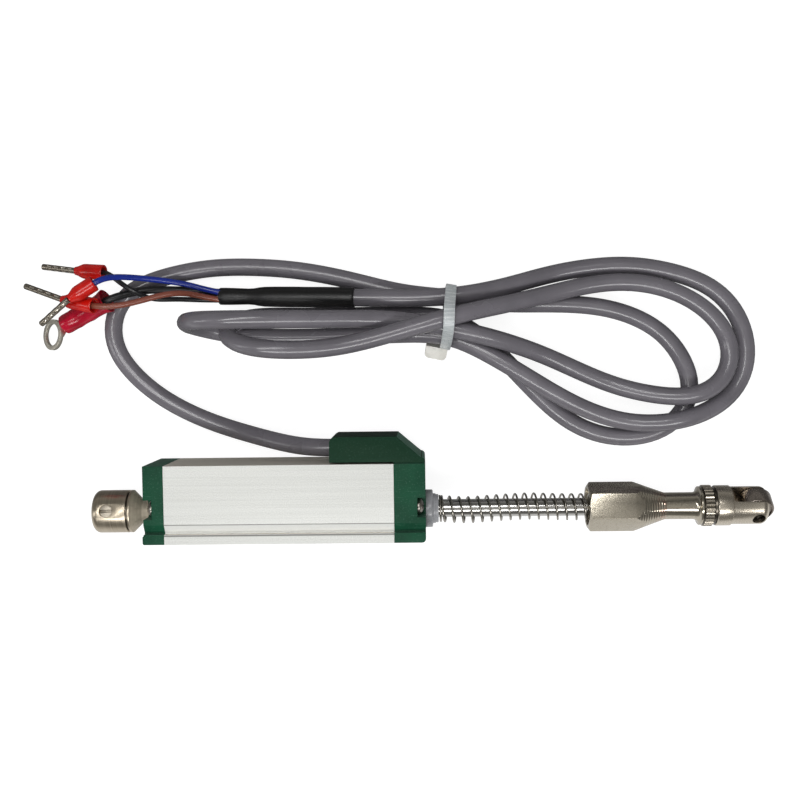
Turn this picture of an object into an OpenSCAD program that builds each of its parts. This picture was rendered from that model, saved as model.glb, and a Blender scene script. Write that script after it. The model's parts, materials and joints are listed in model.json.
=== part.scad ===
// Spring-return linear displacement sensor: a square potentiometer housing, a push rod with a
// roller tip, a rear stop and a cable with crimped leads. The rod runs along X, the base flange
// faces -Y, and the sensor lies on its side face on Z = 0 with the origin under its middle.

/* [Housing] */
// Length of the housing over both end caps
body_l = 64.4; // [63:0.1:66]
// Height of the housing from its base face to its top
body_h = 18; // [18:0.1:19]
// Width of the housing between its side faces
body_w = 18; // [18:0.1:19]
// Thickness of the extrusion beside the upper chamber
wall = 1.5; // [1.4:0.05:1.6]
// Thickness of the extrusion above the upper chamber
roof_t = 1.5; // [1.3:0.1:1.7]
// Thickness of the floor under the rod channel
floor_t = 3; // [2.8:0.1:3.2]
// Height of the rod's axis above the base face
axis_h = 6.5; // [6.4:0.1:6.6]
// Half width of the channel that the rod runs in
channel_half_w = 3.9; // [3.8:0.05:4]
// Thickness of the base flange that clamps hold
flange_t = 2.3; // [2.1:0.1:2.5]
// Depth of the clamp groove in each side
groove_d = 1.1; // [0.9:0.1:1.2]
// Width of the flat bottom of the clamp groove
groove_w = 0.5; // [0.4:0.1:0.7]
// Height of the slope that runs out of the clamp groove
groove_slope_h = 1.7; // [1.5:0.1:1.9]

/* [End caps] */
// Length of the rear cap
rear_cap_l = 4.7; // [4.5:0.1:5]
// Length of the front cap
front_cap_l = 7.2; // [6.8:0.1:7.6]
// How far each cap's spigot enters the extrusion
spigot_l = 2; // [1.6:0.1:2.4]
// Clearance round a spigot
spigot_gap = 0.15; // [0.1:0.05:0.2]
// Thickness of the flat seal between cap and extrusion
seal_t = 0.5; // [0.4:0.05:0.6]
// How far the seal lies inside the housing's outline
seal_inset = 0.8; // [0.6:0.05:0.9]
// How far the rear cap's foot stands behind its face
foot_step = 0.35; // [0.2:0.05:0.5]
// How far the screw line lies below the upper chamber
screw_drop = 1.8; // [1.75:0.05:1.85]
// Distance of each cap screw from the side face
screw_side = 2.7; // [2.65:0.05:2.75]
// Diameter of the cap screws
screw_d = 2; // [1.9:0.05:2]
// Diameter of the cap screws' heads
screw_head_d = 3.9; // [3.7:0.05:4]
// Height of the cap screws' heads
screw_head_h = 1.5; // [1.3:0.1:1.6]
// How far the cap screws bite into the extrusion
screw_bite = 6; // [5:0.5:8]
// Width of the screw pockets in the caps' sides
pocket_w = 4.5; // [4.4:0.1:4.8]
// Length of the screw pockets in the caps' sides
pocket_l = 1.9; // [1.7:0.1:2]

/* [Cable outlet] */
// Length of the outlet box along the housing
outlet_l = 21.8; // [21:0.1:23]
// Height of the outlet box above the housing's top
outlet_h = 6.1; // [6:0.1:6.6]
// Gap between the box and the extrusion under it
outlet_gap = 0.4; // [0.3:0.05:0.5]
// How far the box's side faces lie inside the housing's
outlet_inset = 0.5; // [0.3:0.1:0.7]
// Draft of the box's side faces at its top
outlet_draft = 0.5; // [0.3:0.1:0.7]
// Length of the slope at the box's front
outlet_slope_l = 6.4; // [6:0.1:6.8]
// Wall round the box's wiring chamber
outlet_wall = 1.4; // [1.2:0.1:1.5]
// Diameter of the cable
cable_d = 4.2; // [4:0.05:4.2]
// How far the cable enters the outlet box
cable_entry_l = 4; // [3.5:0.1:4.2]
// Height of the cable's middle above the housing's top
cable_h = 3; // [2.9:0.05:3.1]
// Diameter of the hole that the cable enters by
cable_hole_d = 4.4; // [4.4:0.05:4.6]

/* [Guide bushes] */
// Diameter of the bushes in their seats
bush_d = 7; // [6.8:0.05:7.2]
// Diameter of the step at the front bush's nose
bush_nose_d = 6.6; // [6.5:0.05:6.8]
// Diameter of the front bush's flange
bush_flange_d = 8.8; // [8.4:0.1:9.2]
// Thickness of the front bush's flange
bush_flange_t = 1.7; // [1.5:0.1:1.9]
// Length of the front bush's nose
bush_nose_l = 1.3; // [1.1:0.1:1.5]
// Radial clearance between a bush and its seat
seat_gap = 0.03; // [0.02:0.01:0.05]
// Radial running clearance between rod and bushes
run_gap = 0.05; // [0.03:0.01:0.08]

/* [Push rod] */
// Diameter of the push rod
rod_d = 4.2; // [4:0.05:4.2]
// How far the rod enters the spring cup beyond the spring's seat
rod_seat_l = 3.5; // [3:0.1:4]
// Distance of the rod's rear end from the rear stop's rear face
rod_end_gap = 1.2; // [1:0.1:1.5]
// Travel of the rod
stroke = 25; // [20:0.5:25]
// Length of the return spring at rest, from the bush nose to its seat in the hexagon
spring_l = 38.3; // [38:0.1:40]
// Outer diameter of the return spring
spring_od = 6.4; // [6.3:0.05:6.6]
// Wire diameter of the return spring
wire_d = 0.5; // [0.45:0.05:0.5]
// Number of the return spring's turns
spring_turns = 19; // [15:1:19]

/* [Rear stop] */
// Diameter of the rear stop
stop_d = 10; // [9.4:0.1:10.6]
// Length of the rear stop's head
stop_l = 8.1; // [7.8:0.1:8.6]
// Diameter of the rear stop's neck
stop_neck_d = 5; // [4.9:0.1:5.4]
// Length of the rear stop's neck, with its groove and flare
stop_neck_l = 5.4; // [5:0.1:5.8]
// Width of the groove in front of the rear stop's head
stop_groove_w = 0.5; // [0.4:0.05:0.6]
// Length of the flare between the rear stop's groove and neck
stop_flare_l = 2.9; // [2.6:0.1:3.2]
// Radius of the rear stop's rear edge
stop_r = 1.5; // [1:0.1:2]
// Diameter of the grub screw
grub_d = 3; // [2.6:0.1:3.2]
// Distance of the grub screw from the rear stop's rear face
grub_x = 3.6; // [3.2:0.1:4]
// Turn of the grub screw and the hexagon about the rod
clock_turn = 9; // [0:1:15]

/* [Spring cup] */
// Width across the hexagon's flats
hex_af = 10; // [9.6:0.1:10.4]
// Length of the hexagon to the start of its cone
hex_l = 10.6; // [10:0.1:11.2]
// Depth of the spring seat in the hexagon
cup_depth = 3.5; // [3:0.1:4]
// Diameter of the spring seat in the hexagon
cup_d = 8.6; // [8.2:0.1:8.8]
// Length of the cone
cone_l = 7.3; // [7:0.1:7.6]
// Diameter of the shank in front of the cone
shank_d = 6.3; // [6:0.1:6.6]
// Length of the shank with its shoulder
shank_l = 8.4; // [8:0.1:8.8]
// Diameter of the shoulder that the lock ring seats on
shoulder_d = 9; // [8.8:0.1:9.2]
// Width of the shoulder's rim
shoulder_w = 0.5; // [0.4:0.05:0.6]
// Diameter of the threaded stud that carries the fork
stud_d = 4; // [3.8:0.1:4.2]
// Length of the stud
stud_l = 5.8; // [5.4:0.1:6]

/* [Roller tip] */
// Diameter of the knurled lock ring
knurl_d = 9.6; // [9.2:0.1:10]
// Width of the knurled lock ring
knurl_w = 2.7; // [2.4:0.1:3]
// Number of teeth of the knurl
knurl_teeth = 30; // [24:1:36]
// Diameter of the fork's collar
fork_d = 9.4; // [9:0.1:9.8]
// Length of the fork's collar with its groove
collar_l = 4.1; // [4:0.1:4.4]
// Width of the groove behind the collar
collar_groove_w = 0.5; // [0.4:0.05:0.6]
// Diameter over the fork's ears
ear_d = 8.8; // [8.6:0.1:9]
// Length of the fork's ears
ear_l = 8.5; // [8.3:0.1:8.8]
// Distance of the roller pin from the collar
pin_x = 6; // [5.6:0.1:6.2]
// Turn of the roller pin about the rod
pin_turn = 42; // [30:1:60]
// How deep the roller pin's ends lie in the ears
pin_recess = 1.4; // [1.2:0.1:1.5]
// Diameter of the roller
roller_d = 8; // [7.6:0.1:8.2]
// Width of the roller
roller_w = 4; // [3.6:0.1:4]
// Gap beside the roller in the fork
roller_side_gap = 0.15; // [0.1:0.05:0.25]
// Diameter of the roller pin
pin_d = 3; // [2.8:0.1:3]
// Outer diameter of the bearing's inner ring
inner_ring_d = 4.4; // [4.3:0.05:4.5]
// Inner diameter of the bearing's outer ring
outer_ring_d = 6.6; // [6.5:0.05:6.7]
// Diameter of the bearing balls
ball_d = 1.5; // [1.4:0.05:1.5]
// Number of bearing balls
ball_count = 7; // [5:1:8]

/* [Potentiometer] */
// Thickness of the track board
board_t = 1.6; // [1.4:0.1:1.7]
// Height of the wiring room above the board
wiring_h = 1.3; // [1.2:0.05:1.4]
// How far each edge of the board sits in its slot
board_edge = 0.6; // [0.4:0.05:0.7]
// Clearance round the board in its slots
board_gap = 0.1; // [0.05:0.05:0.15]
// Thickness of the printed tracks
track_t = 0.1; // [0.05:0.05:0.1]
// Distance of the printed tracks from the rear cap's spigot
track_rear_gap = 5; // [4:0.5:6]
// Distance of the printed tracks from the front cap's spigot
track_front_gap = 1.5; // [1.4:0.1:2]
// Width of each printed track
track_w = 2.6; // [2.2:0.1:3]
// Distance of each track from the middle plane
track_off = 3.6; // [3.2:0.1:3.8]
// Length of the wiper carriage
carriage_l = 8; // [7:0.1:9]
// Distance of the carriage's middle from the front cap's spigot at rest
carriage_rest = 10; // [9.5:0.1:10.5]
// Gap between carriage and housing
carriage_gap = 0.25; // [0.2:0.05:0.3]
// Thickness of the carriage's cross bar
bar_t = 1.6; // [1.4:0.1:1.8]
// Height of the wiper springs between carriage and tracks
finger_h = 1.8; // [1.6:0.05:2]
// Thickness of the wiper springs
finger_t = 0.2; // [0.15:0.05:0.25]
// Width of each wiper finger
finger_w = 0.5; // [0.4:0.05:0.55]
// Number of fingers on each wiper
finger_count = 3; // [2:1:4]
// Diameter of the circlip grooves in the rod
clip_groove_d = 3.4; // [3.2:0.1:3.6]
// Thickness of the circlips
clip_t = 0.5; // [0.4:0.05:0.6]
// Diameter of the solder pins
terminal_d = 0.8; // [0.7:0.05:0.9]
// Distance between the solder pins
terminal_pitch = 2.4; // [2.2:0.1:2.5]
// Distance of the solder pins from the front cap's spigot
terminal_back = 0.9; // [0.8:0.05:0.95]
// How far the solder pins stand out of the board
terminal_out = 0.3; // [0.25:0.05:0.35]
// Diameter of the leads inside the housing
inner_lead_d = 0.7; // [0.6:0.05:0.7]

/* [Leads] */
// Diameter of the heat-shrink sleeve over the cable's end
shrink_d = 4.9; // [4.8:0.05:5]
// Diameter of the heat-shrink sleeve over the leads
shrink_tail_d = 3.8; // [3.7:0.05:4]
// Diameter of the blue and brown leads
lead_d = 1.4; // [1.2:0.05:1.5]
// Diameter of the black lead
thin_lead_d = 1.2; // [1:0.05:1.3]
// Diameter of the sleeved screen lead
screen_d = 1.8; // [1.6:0.05:1.9]
// Diameter of the ferrules' collars
collar_d = 3.6; // [3.4:0.05:3.6]
// Diameter of the ferrules' pins
ferrule_d = 1.4; // [1.3:0.05:1.6]
// Diameter of the ring terminal's sleeve
lug_sleeve_d = 4.8; // [4.6:0.05:4.9]
// Width of the ring terminal's root in its sleeve
lug_root_w = 2.8; // [2.6:0.1:3]
// Outer diameter of the ring terminal
lug_d = 7.4; // [7.2:0.1:7.8]
// Hole of the ring terminal
lug_hole_d = 5.3; // [5.1:0.1:5.5]
// Thickness of the ring terminal
lug_t = 0.8; // [0.7:0.05:0.9]
// Width of the cable tie
tie_w = 2.5; // [2.4:0.1:3]
// Thickness of the cable tie
tie_t = 0.9; // [0.8:0.05:1]

/* [Hidden] */
$fn = 64;
eps = 0.01;

// Colours
cap_green = "#1c4b35";
alloy = "#dcdcd8";
steel = "#b9b6ad";
nickel = "#a79f8f";
grey_plastic = "#969696";
seal_black = "#202020";
board_brown = "#5a3a22";
cable_grey = "#6e6c70";
ferrule_red = "#be1e14";
lug_red = "#a00028";
tie_white = "#e6e4dc";

// Places along the housing
rear_x = -body_l / 2;
front_x = body_l / 2;
tube_rear_x = rear_x + rear_cap_l;
tube_front_x = front_x - front_cap_l;
mid_z = body_w / 2;
base_y = -body_h / 2;
top_y = body_h / 2;
axis_y = base_y + axis_h;
slot_half_w = body_w / 2 - wall;
screw_off = body_w / 2 - screw_side;
chamber_top_h = body_h - roof_t;
track_gap = 0.03;
wiper_seat = 0.02;
board_h = chamber_top_h - wiring_h - board_t;
bar_top_h = board_h - track_t - track_gap - finger_h - wiper_seat;
channel_h = bar_top_h - bar_t - carriage_gap;
screw_h = channel_h - screw_drop;
spigot_rear_x = tube_rear_x + spigot_l;
spigot_front_x = tube_front_x - spigot_l;
carriage_x = spigot_front_x - carriage_rest;

// Places along the rod
nose_x = front_x + bush_flange_t + bush_nose_l;
touch_gap = 0.05;
cup_floor_x = nose_x + spring_l;
hex_x = cup_floor_x - cup_depth;
cone_x = hex_x + hex_l;
shank_x = cone_x + cone_l;
lock_x = shank_x + shank_l;
fork_x = lock_x + knurl_w;
ear_x = fork_x + collar_l;
roller_x = ear_x + pin_x;
rod_front_x = cup_floor_x + rod_seat_l;
stop_rear_x = rear_x - stop_neck_l - stop_l;
rod_rear_x = stop_rear_x + rod_end_gap;
carriage_rear_x = carriage_x - carriage_l / 2;
carriage_front_x = carriage_x + carriage_l / 2;
fit_gap = 0.01;
turned_gap = 0.1;

// Wiring chamber and duct
outlet_rear_x = front_x - outlet_l;
outlet_base_y = top_y + outlet_gap;
outlet_top_y = top_y + outlet_h;
chamber_rear_x = outlet_rear_x + cable_entry_l;
chamber_front_x = front_x - outlet_slope_l;
chamber_base_y = outlet_base_y + outlet_wall;
duct_half_w = terminal_pitch + 1.2;
duct_front_x = tube_front_x + 2.6;
duct_base_h = board_h + board_t + 0.1;
duct_top_h = 1.2;
cable_y = top_y + cable_h;
cable_z = mid_z;
cable_start_x = chamber_rear_x - 0.4;

// Route of the cable from inside the outlet box to the heat-shrink sleeve
cable_route = [
    [cable_start_x, cable_y, cable_z], [9, cable_y, cable_z], [4.5, 12, 8.3], [-10, 15, 3.2], [-22, 19, 2.2],
    [-34, 26, 2.2], [-42.5, 36, 2.2], [-43, 41.5, 2.2], [-41.5, 46.5, 2.2], [-37.5, 50.3, 2.2],
    [-21, 54.7, 2.2], [-9, 55, 2.2], [3, 54, 2.2], [15, 51.5, 2.2], [27, 48.3, 2.4],
    // first pass through the tie, then the inner loop
    [38.5, 47, 3.3], [50.5, 45.4, 2.3], [62.5, 45.3, 2.2], [74.5, 44.5, 2.2], [84, 41.5, 2.2],
    [91, 36.5, 2.2], [96.5, 25.3, 2.2], [95, 20, 2.2], [91, 15.5, 2.2], [84, 13, 2.2],
    [75.5, 13.3, 2.2], [67.5, 16.5, 2.2], [61.5, 21.5, 2.2], [53, 30.5, 2.2], [45, 38.5, 2.5],
    // second pass, the low run and the fold that leans over it
    [38.5, 42.3, 3.3], [26.5, 43, 2.3], [14.5, 43, 2.2], [2.5, 43, 2.2], [-7, 43.3, 2.2],
    [-12, 42.5, 4.5], [-14.5, 40, 10], [-12, 37.2, 15.6], [-6, 35.5, 18.9], [2, 35, 18],
    [12, 35.5, 15.2], [21, 37.5, 14.2], [30, 40, 14.2],
    // third pass on top of the bundle and the middle loop
    [38.5, 42.3, 13.7], [46, 44, 10.8], [56, 46, 7.4], [65.5, 48.3, 5.2], [74, 50, 4.4],
    [83.5, 50, 4.4], [93, 47.3, 4.4], [100, 42.7, 4.4], [104.2, 37.5, 4.4], [105.2, 32, 4.5],
    [103.5, 27, 5.2], [99, 23.7, 6.4], [93.5, 22.6, 6.8], [79, 25, 3.6], [69.5, 29, 2.6],
    [61, 33, 3.6], [52.5, 36, 7.1], [45.5, 38, 10.1],
    // fourth pass, the high run and the fold behind it
    [30, 41.3, 9.7], [20, 42, 11.6], [9, 42, 15], [-2, 42, 18.6], [-12, 42, 20.2],
    [-20, 42, 17.8], [-24, 41.7, 11.2], [-21.5, 40.7, 4.8], [-16, 39.2, 2.2], [-8, 38.2, 2.2],
    [4, 38, 2.2], [17, 38.2, 2.2], [29, 38.5, 2.9],
    // fifth pass and the outer loop
    [38.2, 38, 4.7], [52.5, 30.5, 6.8], [62, 24.5, 6.7], [71.5, 19.5, 5], [81, 16.7, 4.8],
    [89, 16.7, 6.6], [95, 17.8, 6.4], [102, 20.5, 3.6], [107, 24.5, 2.3], [109.5, 31, 2.2],
    [108.8, 38, 2.2], [105.3, 45, 2.2], [99.5, 49.7, 2.2], [84, 54, 2.2], [73.5, 54, 2.2],
    [62.5, 52.3, 2.5], [50.5, 49, 5.6],
    // last pass, over the first
    [38.5, 47, 7.8], [27, 46.9, 6.6], [16, 47.2, 5.7]
];

// Run of the heat-shrink sleeve, in line with the cable's end
shrink_from = cable_route[len(cable_route) - 1];
shrink_dir = unit([-11, 0.3, -0.9]);
shrink_l = 32.5;
shrink_body_l = 23.7;
shrink_to = shrink_from + shrink_l * shrink_dir;
lead_gap = 0.45;

// Ferrules: start of the collar, end of the collar and end of the pin
ferrules = [
    [[-43.2, 53.9, 6], [-50.4, 54.5, 4.8], [-58.8, 55.7, 3.2]],
    [[-43.1, 50.9, 14.3], [-48.8, 47.3, 15], [-56.6, 41.8, 11.4]],
    [[-43.7, 45.8, 12.5], [-52.2, 47.5, 9.4], [-62.3, 51, 5.4]]
];
pin_seat = 0.6;

// Ring terminal: start and end of its sleeve, centre of its eye, and how its eye is bent and rolled
lug_from = [-42.2, 47.2, 7.6];
lug_to = [-53.5, 41.6, 4.8];
lug_eye = [-56.6, 39.4, 3.5];
lug_pitch = 36;
lug_roll = -51;

// Routes of the leads from the sleeve into the mouths of their terminals
mouth = 0.4;
blue_route = [
    lead_start(0.8, 1), [-20, 49.8, 4.4], [-24.3, 51, 5.2], [-32, 52.1, 7.8], [-39.3, 52.4, 12],
    into(ferrules[1][0], ferrules[1][1], -1.5), into(ferrules[1][0], ferrules[1][1], mouth)
];
black_route = [
    lead_start(-0.9, -0.8), [-21.3, 47.3, 2.6], [-26.5, 47.5, 4], [-31.9, 47.5, 6.2],
    [-35.2, 48.9, 7.9], [-39.9, 52, 7.4], into(ferrules[0][0], ferrules[0][1], -1),
    into(ferrules[0][0], ferrules[0][1], mouth)
];
brown_route = [
    lead_start(-0.9, 0.9), [-19.4, 47.8, 4.8], [-23.5, 48.7, 6.6], [-28, 48.5, 8.3],
    [-32, 47.4, 9.8], [-36.3, 46.2, 11.4], [-40, 45.6, 12.6],
    into(ferrules[2][0], ferrules[2][1], -1), into(ferrules[2][0], ferrules[2][1], mouth)
];
screen_route = [
    lead_start(0.9, -0.8), [-26.6, 49.7, 3.3], [-33.5, 49.6, 5.5], [-37.5, 48.8, 6.4],
    into(lug_from, lug_to, -1), into(lug_from, lug_to, mouth)
];

// Cable tie: a place in its plane and how far the plane leans
tie_at = [38.1, 43, 0];
tie_lean = 12;
tie_gap = 0.2;

// Vector helpers
function unit(v) = v / norm(v);

function tangent(p, i) = unit(p[min(i + 1, len(p) - 1)] - p[max(i - 1, 0)]);

function into(a, b, l) = a + l * unit(b - a);

function lead_start(y, z) = shrink_to + lead_gap * shrink_dir + [0, y, z];

function across(v, t) = unit(v - t * (v * t));

// Frames carried along a path without twisting, one side vector for each point
function sides_along(p, first = [0, 0, 1]) = [
    for (i = 0, u = across(first, tangent(p, 0)); i < len(p);
         i = i + 1, u = i < len(p) ? across(u, tangent(p, i)) : u) u
];

function ring(c, t, u, r, n) = let (v = cross(t, u))
    [for (k = [0:n - 1]) c + r * (cos(360 * k / n) * u + sin(360 * k / n) * v)];

// Round tube of radius r that is swept along the points p
module tube_along(p, r, n) {
    u = sides_along(p);
    rings = [for (i = [0:len(p) - 1]) each ring(p[i], tangent(p, i), u[i], r, n)];
    walls = [
        for (i = [0:len(p) - 2], k = [0:n - 1])
            let (m = (k + 1) % n)
            each [[i * n + k, (i + 1) * n + m, i * n + m], [i * n + k, (i + 1) * n + k, (i + 1) * n + m]]
    ];
    first = [for (k = [0:n - 1]) k];
    last = [for (k = [n - 1:-1:0]) (len(p) - 1) * n + k];
    polyhedron(rings, concat([first], walls, [last]), convexity = 10);
}

// Children drawn along +Z are set at a and point towards b
module aim(a, b) {
    d = b - a;
    translate(a) rotate([0, acos(d[2] / norm(d)), atan2(d[1], d[0])]) children();
}

// Children drawn along +Z run along the rod's axis, from x
module on_axis(x) {
    translate([x, axis_y, mid_z]) rotate([0, 90, 0]) children();
}

// Round hole or shaft on the rod's axis
module axis_rod(x, l, d) {
    on_axis(x) cylinder(h = l, d = d);
}

// A flat shape in height above the base face and distance from the middle plane, along X
module extrude_x(x, l) {
    translate([x, base_y, mid_z]) rotate([90, 0, 90]) linear_extrude(l) children();
}

// A rectangle that is mirrored about the middle plane
module band(h0, h1, half_w) {
    translate([h0, -half_w]) square([h1 - h0, 2 * half_w]);
}

module housing_outline(inset = 0) {
    half_w = body_w / 2 - inset;
    low = flange_t - inset;
    deep = half_w - groove_d;
    side = [
        [inset, half_w], [low, half_w], [low, deep], [low + groove_w + 2 * inset, deep],
        [low + groove_w + groove_slope_h + 2 * inset, half_w], [body_h - inset, half_w]
    ];
    other = [for (i = [len(side) - 1:-1:0]) [side[i][0], -side[i][1]]];
    polygon(concat(side, other));
}

module chamber_outline(gap = 0) {
    band(floor_t + gap, channel_h + 2 * eps + gap, channel_half_w - gap);
    band(channel_h + gap, chamber_top_h - gap, slot_half_w - gap);
}

// The part of the chamber above the rod channel, which a cap's spigot fills
module spigot_outline(gap) {
    band(channel_h + gap + 0.1, chamber_top_h - gap, slot_half_w - gap);
}

module screw_places() {
    for (side = [-1, 1]) translate([screw_h, side * screw_off]) children();
}

// Housing

module housing_tube() {
    slot_w = slot_half_w + board_edge + board_gap;
    color(alloy) extrude_x(tube_rear_x, tube_front_x - tube_rear_x) difference() {
        housing_outline();
        chamber_outline();
        band(board_h - board_gap, board_h + board_t + board_gap, slot_w);
        screw_places() circle(d = screw_d + 2 * fit_gap);
    }
}

// Body of a cap without its holes; the spigot reaches from the cap into the extrusion
module cap_block(x, l, spigot_x) {
    extrude_x(x, l) housing_outline();
    extrude_x(spigot_x, spigot_l) spigot_outline(spigot_gap);
}

// Recess of the flat seal, screw holes and screw pockets of a cap; out points away from the middle
module cap_cuts(seal_x, end_x, out) {
    extrude_x(seal_x, seal_t) difference() {
        housing_outline(seal_inset);
        chamber_outline(spigot_gap);
    }
    extrude_x(min(seal_x, end_x) - 1, abs(end_x - seal_x) + 2) screw_places()
        circle(d = screw_d + 4 * fit_gap);
    pocket_depth = body_w / 2 - screw_off + screw_head_d / 2 + 0.15;
    for (side = [-1, 1])
        translate([end_x - out * pocket_l / 2, base_y + screw_h,
                   mid_z + side * (body_w / 2 + 1 - pocket_depth / 2)])
            cube([pocket_l + eps * 2, pocket_w, pocket_depth + 2 - eps], center = true);
}

module rear_cap() {
    color(cap_green) difference() {
        union() {
            cap_block(rear_x, rear_cap_l, tube_rear_x);
            extrude_x(rear_x - foot_step, rear_cap_l) band(0, flange_t - 0.3, body_w / 2 - 0.3);
        }
        axis_rod(rear_x - 1, rear_cap_l + spigot_l + 2, bush_d + 2 * seat_gap);
        cap_cuts(tube_rear_x - seal_t, rear_x, -1);
    }
}

// Side view of the cable outlet box, with a rounded rear corner and the slope at its front
module outlet_outline(inset = 0) {
    r = 1;
    x0 = outlet_rear_x + inset;
    x1 = front_x - inset;
    y0 = outlet_base_y + inset;
    y1 = outlet_top_y - inset;
    slope_h = outlet_top_y - outlet_base_y - 0.2;
    polygon([
        [x0, y0], [x1, y0], [x1, y1 - slope_h + inset], [x1 - outlet_slope_l + inset, y1],
        [x0 + r, y1], [x0 + 0.35, y1 - 0.35], [x0, y1 - r]
    ]);
}

module outlet_box() {
    w = body_w - 2 * outlet_inset;
    top_h = outlet_top_y - base_y;
    low_h = top_h - outlet_h * 0.65;
    lean = outlet_draft / (top_h - low_h);
    difference() {
        translate([0, 0, mid_z - w / 2]) linear_extrude(w) outlet_outline();
        for (side = [-1, 1]) extrude_x(outlet_rear_x - 1, outlet_l + 2) polygon([
            [low_h, side * w / 2], [top_h + 1, side * (w / 2 - lean * (top_h + 1 - low_h))],
            [top_h + 1, side * (w / 2 + 1)], [low_h, side * (w / 2 + 1)]
        ]);
    }
    // neck between the box and the cap
    translate([tube_front_x, top_y - 1, mid_z - w / 2]) cube([front_cap_l, outlet_gap + 2, w]);
}

module front_cap() {
    color(cap_green) difference() {
        union() {
            cap_block(tube_front_x, front_cap_l, spigot_front_x);
            outlet_box();
        }
        axis_rod(spigot_front_x - 1, front_cap_l + spigot_l + 2, bush_d + 2 * seat_gap);
        cap_cuts(tube_front_x, front_x, 1);
        // cable hole
        translate([outlet_rear_x - 1, cable_y, cable_z]) rotate([0, 90, 0])
            cylinder(h = cable_entry_l + 2, d = cable_hole_d);
        // wiring chamber, cut back under the slope
        translate([0, 0, mid_z - duct_half_w]) linear_extrude(2 * duct_half_w) polygon([
            [chamber_rear_x, chamber_base_y], [duct_front_x, chamber_base_y],
            [duct_front_x, chamber_base_y + duct_top_h], [chamber_front_x, outlet_top_y - outlet_wall],
            [chamber_rear_x, outlet_top_y - outlet_wall]
        ]);
        // duct from the track board up to the chamber
        translate([spigot_front_x - 1, base_y + duct_base_h, mid_z - duct_half_w])
            cube([duct_front_x - spigot_front_x + 1, chamber_top_h - duct_base_h + eps, 2 * duct_half_w]);
        translate([tube_front_x + 0.6, base_y + duct_base_h, mid_z - duct_half_w])
            cube([duct_front_x - tube_front_x - 0.6, chamber_base_y + eps - base_y - duct_base_h,
                  2 * duct_half_w]);
    }
}

// Flat seal round a spigot
module cap_seal(x) {
    gap = 0.05;
    color(seal_black) extrude_x(x + gap / 2, seal_t - gap) difference() {
        housing_outline(seal_inset + gap);
        chamber_outline(spigot_gap - gap);
        screw_places() circle(d = screw_d + 6 * fit_gap);
        translate([axis_h, 0]) circle(d = bush_d + 2 * seat_gap + 2 * gap);
        band(channel_h, chamber_top_h + eps, duct_half_w);
    }
}

module rear_seal() {
    cap_seal(tube_rear_x - seal_t);
}

module front_seal() {
    cap_seal(tube_front_x);
}

// Plain bearing bush with a chamfered mouth at each end
module bush_bore(x, l) {
    d = rod_d + 2 * run_gap;
    axis_rod(x - 1, l + 2, d);
    on_axis(x - eps) cylinder(h = 0.4, d1 = d + 0.8, d2 = d);
    on_axis(x + l - 0.4 + eps) cylinder(h = 0.4, d1 = d, d2 = d + 0.8);
}

module rear_bush() {
    l = rear_cap_l + spigot_l;
    color(grey_plastic) difference() {
        axis_rod(rear_x, l, bush_d);
        bush_bore(rear_x, l);
    }
}

module front_bush() {
    l = nose_x - spigot_front_x;
    color(grey_plastic) difference() {
        union() {
            axis_rod(spigot_front_x, l - bush_nose_l / 2, bush_d);
            axis_rod(nose_x - bush_nose_l / 2 - eps, bush_nose_l / 2 + eps, bush_nose_d);
            axis_rod(front_x + 0.02, bush_flange_t - 0.22, bush_flange_d);
            on_axis(front_x + bush_flange_t - 0.2)
                cylinder(h = 0.2, d1 = bush_flange_d, d2 = bush_flange_d - 0.4);
        }
        bush_bore(spigot_front_x, l);
    }
}

// Pan-head screw along +Z from under its head, with a cross recess
module cap_screw(l) {
    difference() {
        union() {
            cylinder(h = l, d = screw_d);
            translate([0, 0, -screw_head_h]) rotate_extrude() intersection() {
                translate([0, 0]) square([screw_head_d / 2, screw_head_h]);
                translate([0, screw_head_h * 1.6]) circle(r = screw_head_h * 1.6);
            }
        }
        for (a = [0, 90]) rotate(a)
            translate([-0.9, -0.2, -screw_head_h - eps]) cube([1.8, 0.4, 0.7]);
    }
}

module cap_screw_pair(seat_x, l, dir) {
    color(steel) for (side = [-1, 1])
        translate([seat_x, base_y + screw_h, mid_z + side * screw_off])
            rotate([0, dir * 90, 0]) cap_screw(l);
}

module rear_cap_screws() {
    cap_screw_pair(rear_x + pocket_l - fit_gap, rear_cap_l - pocket_l + screw_bite, 1);
}

module front_cap_screws() {
    cap_screw_pair(front_x - pocket_l + fit_gap, front_cap_l - pocket_l + screw_bite, -1);
}

// Potentiometer

module track_board() {
    l = spigot_front_x - spigot_rear_x - 0.1;
    half_w = slot_half_w + board_edge;
    color(board_brown) difference() {
        extrude_x(spigot_rear_x + 0.05, l) band(board_h, board_h + board_t, half_w);
        terminal_places() cylinder(h = 3 * board_t, d = terminal_d + 2 * fit_gap, center = true);
    }
}

// Printed track on the board's lower face; side picks the half of the board
module printed_track(side) {
    track_rear_x = spigot_rear_x + track_rear_gap;
    extrude_x(track_rear_x, spigot_front_x - track_front_gap - track_rear_x)
        translate([board_h - track_t, side * track_off - track_w / 2]) square([track_t, track_w]);
}

module resistive_track() {
    color("#2a2a2c") printed_track(-1);
}

module collector_track() {
    color("#c8c4b8") printed_track(1);
}

module terminal_places() {
    for (side = [-1:1])
        translate([spigot_front_x - terminal_back, base_y + board_h + board_t / 2,
                   mid_z + side * terminal_pitch])
            rotate([-90, 0, 0]) children();
}

module board_terminals() {
    color(nickel) terminal_places() {
        translate([0, 0, -board_t / 2 - terminal_out])
            cylinder(h = board_t + 2 * terminal_out, d = terminal_d);
        translate([0, 0, board_t / 2 + 2 * fit_gap])
            cylinder(h = terminal_out - 0.05, d1 = terminal_d + 0.6, d2 = terminal_d);
    }
}

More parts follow.
